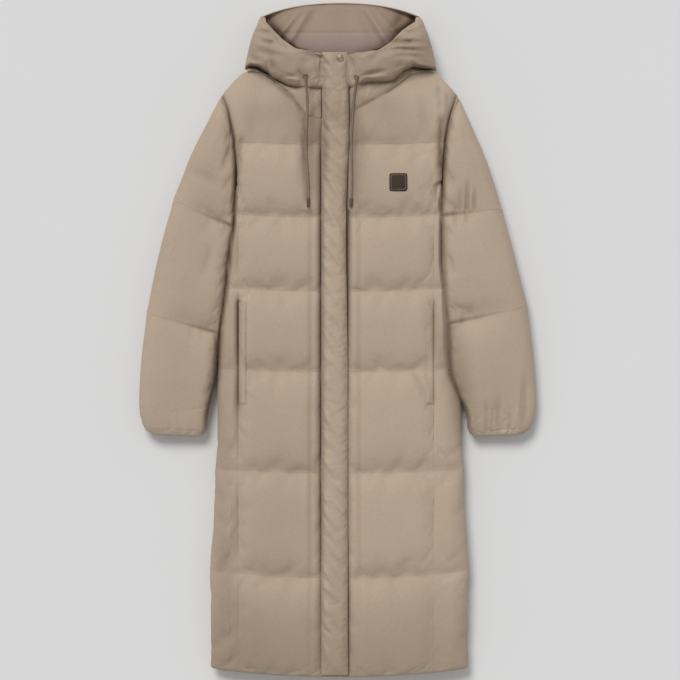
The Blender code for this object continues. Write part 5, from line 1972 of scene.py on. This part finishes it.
@dataclass
class Drawcords:
    """The free ends of the drawcord, with their tips."""

    coat: Coat
    step: float = 0.0011
    sides: int = 14
    strands: int = 7
    pitch: float = 0.016
    tip_radius: float = 0.0034
    tip_length: float = 0.017

    def build(self) -> None:
        """Make both cords."""
        for side in SIDES:
            route = smooth_route(side.cord, self.step)
            self.coat.cords[side.name] = np.concatenate([route, self.tip_line(route)])
            piece = self.braid(side, route)
            tip = self.tip(side, route)
            self.coat.wardrobe.dress(piece, Slot.CORD, f"drawcord_{side.name}")
            self.coat.wardrobe.dress(tip, Slot.CORD_TIP, f"cord_tip_{side.name}")

    def tip_line(self, route: np.ndarray) -> np.ndarray:
        """Follow the tip, which goes on from the cord.

        Args:
            route: of the cord.

        Returns:
            Points along the tip.
        """
        along = route[-1] - route[-2]
        along /= np.linalg.norm(along)
        return np.array([route[-1] + along * self.tip_length * share for share in (0.3, 0.6, 1.0)])

    def braid(self, side: Half, route: np.ndarray) -> bpy.types.Object:
        """Twist a cord's strands round its route.

        Args:
            side: which cord.
            route: its middle line.

        Returns:
            The cord.
        """
        tangent = np.gradient(route, axis=0)
        tangent /= np.linalg.norm(tangent, axis=1, keepdims=True)
        across = np.cross(tangent, (0.0, 0.0, 1.0))
        across /= np.linalg.norm(across, axis=1, keepdims=True)
        up = np.cross(across, tangent)
        run = run_along(route)[:, None]
        angle = np.linspace(0.0, 2 * np.pi, self.sides, endpoint=False)[None, :]
        twist = 2 * np.pi * run / self.pitch
        pattern, counter = (
            np.abs(np.sin((angle * self.strands + turn * self.strands) / 2)) for turn in (twist, -twist)
        )
        radius = CORD_RADIUS * (0.90 + 0.10 * np.maximum(pattern, counter))
        around = np.cos(angle)[..., None] * across[:, None] + np.sin(angle)[..., None] * up[:, None]
        points = route[:, None] + radius[..., None] * around
        last, sides = len(route) - 1, self.sides
        faces = []
        for row in range(0, last * sides, sides):
            for number in range(sides):
                after = (number + 1) % sides
                faces.append([row + number, row + after, row + sides + after, row + sides + number])
        faces += [list(range(sides))[::-1], list(range(last * sides, (last + 1) * sides))]
        piece = make_piece(f"drawcord_{side.name}_braid", points, faces)
        mend_normals(piece)
        smooth(piece, 60.0)
        return piece

    def tip(self, side: Half, route: np.ndarray) -> bpy.types.Object:
        """Mould the tip at the end of a cord.

        Args:
            side: which cord.
            route: its middle line.

        Returns:
            The tip.
        """
        along = Vector(route[-1] - route[-2]).normalized()
        middle = Vector(route[-1]) + along * (self.tip_length / 2 + GAP)
        sizes = {"vertices": 28, "radius": self.tip_radius, "depth": self.tip_length}
        tip = add_shape(f"cord_tip_{side.name}_end", bpy.ops.mesh.primitive_cylinder_add, **sizes)
        select_faces(tip, lambda face: face.normal.z < -0.9)
        bpy.ops.mesh.inset(thickness=self.tip_radius * 0.25)
        bpy.ops.transform.translate(value=(0.0, 0.0, -0.0004))
        select_faces(tip, lambda face: face.normal.z > 0.9)
        bpy.ops.transform.resize(value=(0.92, 0.92, 1.0))
        bpy.ops.object.mode_set(mode="OBJECT")
        bevel(tip, 0.0007)
        settle(tip, middle, along.to_track_quat("Z", "Y"))
        return tip


@dataclass
class Welts:
    """The pockets' welts, which lie on the fronts beside the lengthways seams."""

    coat: Coat
    width: float = 0.014
    depth: float = 0.0022
    from_seam: float = 0.0012
    low_y: float = -0.127
    high_y: float = 0.070
    rows: int = 66
    columns: int = 8

    def build(self) -> None:
        """Make both welts."""
        for side in SIDES:
            front = self.coat.shells[f"front_{side.name}"].tree()
            y = np.linspace(self.low_y, self.high_y, self.rows + 1)[:, None]
            share = np.linspace(0.0, 1.0, self.columns + 1)[None, :]
            half = side.princess - self.from_seam - self.width * (1.0 - share)
            x = side.x(half) + 0 * y
            y = y + 0 * x
            under = resting(front, x, y)
            padded = np.pad(under, ((3, 3), (0, 0)), mode="edge")
            even = [np.convolve(column, np.ones(7) / 7, "valid") for column in padded.T]
            under = np.maximum(under, np.stack(even, 1)) + 2 * GAP
            from_ends = np.minimum(y - self.low_y, self.high_y - y)
            from_edge = np.minimum(np.minimum(share, 1 - share) * self.width, from_ends)
            z = under + self.depth * (0.55 + 0.45 * rounded(from_edge, 0.003))
            name, held = f"pocket_welt_{side.name}", np.ones(x.shape)
            shell = Shell(name, grid_of(x, y, z), held, grid_of(x, y, under), (0, 0, 1))
            self.coat.finish_trim(shell, Slot.SHELL)
            for column in (1, -2):
                self.coat.stitch(shell.points[2:-2, column])
            self.coat.stitch_rows(shell, (1, -2), slice(1, -1))


@dataclass
class Patch:
    """A plain square patch on the chest."""

    coat: Coat
    side: float = 0.035
    depth: float = 0.0014
    middle: tuple = (0.118, 0.303)
    cells: int = 20

    def build(self) -> None:
        """Make the patch."""
        front = self.coat.shells["front_right"].tree()
        along = np.linspace(-0.5, 0.5, self.cells + 1)[:, None]
        across = along.T
        x = self.middle[0] + self.side * across * (1.0 - 0.06 * (np.abs(along) * 2) ** 6)
        y = self.middle[1] + self.side * along * (1.0 - 0.06 * (np.abs(across) * 2) ** 6)
        under = resting(front, x, y) + 2 * GAP
        from_edge = self.side * (0.5 - np.maximum(np.abs(across), np.abs(along)))
        z = under + self.depth * (0.5 + 0.5 * rounded(from_edge, 0.0025))
        shell = Shell("chest_patch", grid_of(x, y, z), np.ones(x.shape), grid_of(x, y, under), (0, 0, 1))
        piece = self.coat.finish_trim(shell, Slot.PATCH)
        inset, at = slice(2, -2), shell.points
        ring = [*at[2, inset], *at[inset, -3], *at[-3, inset][::-1], *at[inset, 2][::-1]]
        self.coat.stitch(np.array(ring))


@dataclass
class Zip:
    """The closed front zip, under the storm flap: tapes, teeth and slider."""

    coat: Coat
    size: tuple = (0.009, 1.16, 0.008)
    middle: tuple = (ZIP_X, -0.030, 0.034)
    pitch: float = 0.004
    tape: float = 0.001  # thickness
    tooth: tuple = (0.0048, 0.0022, 0.0013)
    slider: tuple = (0.0075, 0.012, 0.0018)

    def build(self) -> None:
        """Make the zip."""
        x, y, z = self.middle
        low, high = y - self.size[1] / 2, y + self.size[1] / 2
        dress = self.coat.wardrobe.dress
        tape = box("zip_tape", self.middle, (*self.size[:2], self.tape), 0.0003)
        dress(tape, Slot.ZIP, "front_zip")
        teeth = box("zip_teeth", (x, low + self.pitch, z + 0.0012), self.tooth, 0.0003, 1)
        count = int((self.size[1] - 2 * self.pitch) / self.pitch)
        row = {"use_relative_offset": False, "use_constant_offset": True, "count": count}
        modify(teeth, "ARRAY", constant_offset_displace=(0.0, self.pitch, 0.0), **row)
        dress(teeth, Slot.ZIP)
        slider = box("zip_slider", (x, high - self.slider[1], z + 0.0028), self.slider, 0.0006)
        dress(slider, Slot.METAL)


@dataclass
class Stitches:
    """Every line of stitching, as short capsules of thread."""

    coat: Coat
    length: float = 0.0026
    gap: float = 0.0011
    radius: float = 0.00034

    def build(self) -> None:
        """Make one mesh of all the stitches."""
        turns = np.arange(5) * 2 * np.pi / 5
        ring = np.stack([np.cos(turns), np.sin(turns)], axis=1)
        stations = ((-0.5, 0.25), (-0.36, 1.0), (0.36, 1.0), (0.5, 0.25))
        sides = [(number, (number + 1) % 5) for number in range(5)]
        quads = [[i + j, i + after, i + 5 + after, i + 5 + j] for i in (0, 5, 10) for j, after in sides]
        quads += [[4, 3, 2, 1, 0], [15, 16, 17, 18, 19]]
        points, faces = [], []
        for line, up in self.coat.seams:
            run = run_along(line)
            for start in np.arange(0.0, run[-1] - self.length, self.length + self.gap):
                first, last = read(line, run, np.array([start, start + self.length]))
                along = (last - first) / max(np.linalg.norm(last - first), 1e-9)
                across = np.cross(along, up)
                across /= max(np.linalg.norm(across), 1e-9)
                rise = np.cross(across, along)
                middle, base = (first + last) / 2, len(points)
                for at, share in stations:
                    centre = middle + along * at * self.length
                    points += [centre + self.radius * share * (across * a + rise * b) for a, b in ring]
                faces += [[base + corner for corner in quad] for quad in quads]
        piece = make_piece("stitches", np.array(points), faces)
        mend_normals(piece)
        piece.data.shade_smooth()
        self.coat.wardrobe.dress(piece, Slot.SHELL)


# ---- modelling helpers


def make_piece(name: str, points: np.ndarray, faces: list) -> bpy.types.Object:
    """Make a mesh piece.

    Args:
        name: of the piece.
        points: its points, as a list or a grid.
        faces: lists of point numbers.

    Returns:
        The piece, in the scene.
    """
    mesh = bpy.data.meshes.new(name)
    mesh.from_pydata(points.reshape(-1, 3).tolist(), [], faces)
    piece = bpy.data.objects.new(name, mesh)
    bpy.context.scene.collection.objects.link(piece)
    return piece


def deselect() -> None:
    """Leave edit mode and deselect everything."""
    if bpy.context.object and bpy.context.object.mode != "OBJECT":
        bpy.ops.object.mode_set(mode="OBJECT")
    for piece in bpy.context.scene.objects:
        piece.select_set(False)


def pick(piece: bpy.types.Object) -> None:
    """Select one piece and nothing else.

    Args:
        piece: the piece.
    """
    deselect()
    piece.select_set(True)
    bpy.context.view_layer.objects.active = piece


def add_shape(name: str, primitive: Callable, **sizes) -> bpy.types.Object:
    """Add a plain shape to the scene.

    Args:
        name: of the new piece.
        primitive: the operator that adds the shape.
        sizes: the operator's settings.

    Returns:
        The piece.
    """
    deselect()
    primitive(**sizes)
    bpy.context.object.name = name
    return bpy.context.object


def settle(piece: bpy.types.Object, at: tuple | Vector, turn: Quaternion | None = None) -> None:
    """Put a piece's place, turn and size into its mesh.

    Args:
        piece: the piece, which already has its size.
        at: its place.
        turn: its turn.
    """
    if turn:
        piece.rotation_mode = "QUATERNION"
        piece.rotation_quaternion = turn
    piece.location = at
    pick(piece)
    bpy.ops.object.transform_apply(location=True, rotation=True, scale=True)


def select_faces(piece: bpy.types.Object, wanted: Callable) -> None:
    """Go into edit mode with the faces selected that a test wants.

    Args:
        piece: the active piece.
        wanted: the test of a face.
    """
    bpy.ops.object.mode_set(mode="OBJECT")
    for element in (*piece.data.vertices, *piece.data.edges, *piece.data.polygons):
        element.select = False
    for face in piece.data.polygons:
        face.select = bool(wanted(face))
    bpy.ops.object.mode_set(mode="EDIT")
    bpy.ops.mesh.select_mode(type="FACE")


def modify(piece: bpy.types.Object, kind: str, **settings) -> None:
    """Change a piece by a modifier.

    Args:
        piece: the piece.
        kind: the modifier's type.
        settings: its attributes.
    """
    modifier = piece.modifiers.new("change", kind)
    for name, value in settings.items():
        setattr(modifier, name, value)
    bpy.context.view_layer.objects.active = piece
    bpy.ops.object.modifier_apply(modifier=modifier.name)


def smooth(piece: bpy.types.Object, angle: float) -> None:
    """Shade a piece smooth, apart from edges sharper than the angle in degrees."""
    piece.data.shade_smooth()
    piece.data.set_sharp_from_angle(angle=math.radians(angle))


def bevel(piece: bpy.types.Object, width: float, segments: int = 3) -> None:
    """Round a hard piece's edges and shade it smooth."""
    modify(piece, "BEVEL", width=width, segments=segments)
    smooth(piece, 50.0)


def box(name: str, middle: tuple, size: tuple, *edge: float) -> bpy.types.Object:
    """Make a box with round edges.

    Args:
        name: of the piece.
        middle: its place.
        size: along each axis.
        edge: width of its round edges, and their segments.

    Returns:
        The piece.
    """
    piece = add_shape(name, bpy.ops.mesh.primitive_cube_add, size=1.0)
    piece.scale = size
    settle(piece, middle)
    bevel(piece, *edge)
    return piece


def mend_normals(piece: bpy.types.Object) -> None:
    """Turn a closed piece's faces outwards.

    Args:
        piece: the piece.
    """
    pick(piece)
    bpy.ops.object.mode_set(mode="EDIT")
    bpy.ops.mesh.select_all(action="SELECT")
    bpy.ops.mesh.normals_make_consistent(inside=False)
    bpy.ops.object.mode_set(mode="OBJECT")


def drop(tree: BVHTree, x: float, y: float) -> float:
    """Find the height of the topmost surface.

    Args:
        tree: the surface.
        x: place in plan.
        y: the same.

    Returns:
        Its height there, or at its nearest point.
    """
    hit = tree.ray_cast(Vector((x, y, 0.3)), Vector((0.0, 0.0, -1.0)))
    if hit[0] is None:
        hit = tree.find_nearest(Vector((x, y, CREST)))
    return hit[0].z


def resting(tree: BVHTree, x: np.ndarray, y: np.ndarray) -> np.ndarray:
    """Return the heights of the topmost surface below a grid of places."""
    return np.array([[drop(tree, a, b) for a, b in zip(*row)] for row in zip(x, y)])


# ---- the studio


@dataclass
class Studio:
    """A pale floor, soft light and a camera that looks straight down."""

    camera_at: tuple = (0.0049, -0.0029, 5.0)
    lens: float = 135.0
    floor_size: float = 40.0
    floor_shade: float = 0.775
    ambient: float = 0.45
    key_energy: float = 1.75
    key_angle: float = 26.0  # degrees across
    key_from: tuple = (-0.34, 0.80, 1.05)

    def build(self) -> None:
        """Make the camera, the floor and the lights."""
        scene = bpy.context.scene
        camera = bpy.data.objects.new("camera", bpy.data.cameras.new("camera"))
        camera.data.lens = self.lens
        camera.location = self.camera_at
        scene.collection.objects.link(camera)
        scene.camera = camera
        below = (0.0, 0.0, -0.0005)
        floor = add_shape("floor", bpy.ops.mesh.primitive_plane_add, size=self.floor_size, location=below)
        nodes = Nodes("floor")
        grain = nodes.noise(nodes.add("TexCoord").outputs["Object"], 3.0, 2.0)
        tint = nodes.mix(grain, *((self.floor_shade * share,) * 3 for share in (0.99, 1.01)))
        nodes.feed(nodes.shader, {"Base Color": tint, "Roughness": 0.9, "Specular IOR Level": 0.0})
        floor.data.materials.append(nodes.material)
        world = bpy.data.worlds.new("studio")
        world.use_nodes = True
        background = world.node_tree.nodes["Background"]
        background.inputs["Color"].default_value = (1.0, 1.0, 1.0, 1.0)
        background.inputs["Strength"].default_value = self.ambient
        scene.world = world
        light = bpy.data.lights.new("key", "SUN")
        light.energy = self.key_energy
        light.angle = math.radians(self.key_angle)
        key = bpy.data.objects.new("key", light)
        key.rotation_mode = "QUATERNION"
        key.rotation_quaternion = Vector(self.key_from).to_track_quat("Z", "Y")
        scene.collection.objects.link(key)
        scene.view_settings.view_transform = "Standard"


def main() -> None:
    """Build the coat in its studio."""
    logging.basicConfig(level=logging.INFO)
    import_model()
    Studio().build()
    coat = Coat(Wardrobe())
    Drawcords(coat).build()
    body = Back, Fronts, SidePanels, Sleeves, Hood, Collar, StormFlap
    for part in (*body, PressStud, Eyelets, Welts, Patch, Zip, Stitches):
        part(coat).build()


if __name__ == "__main__":
    main()
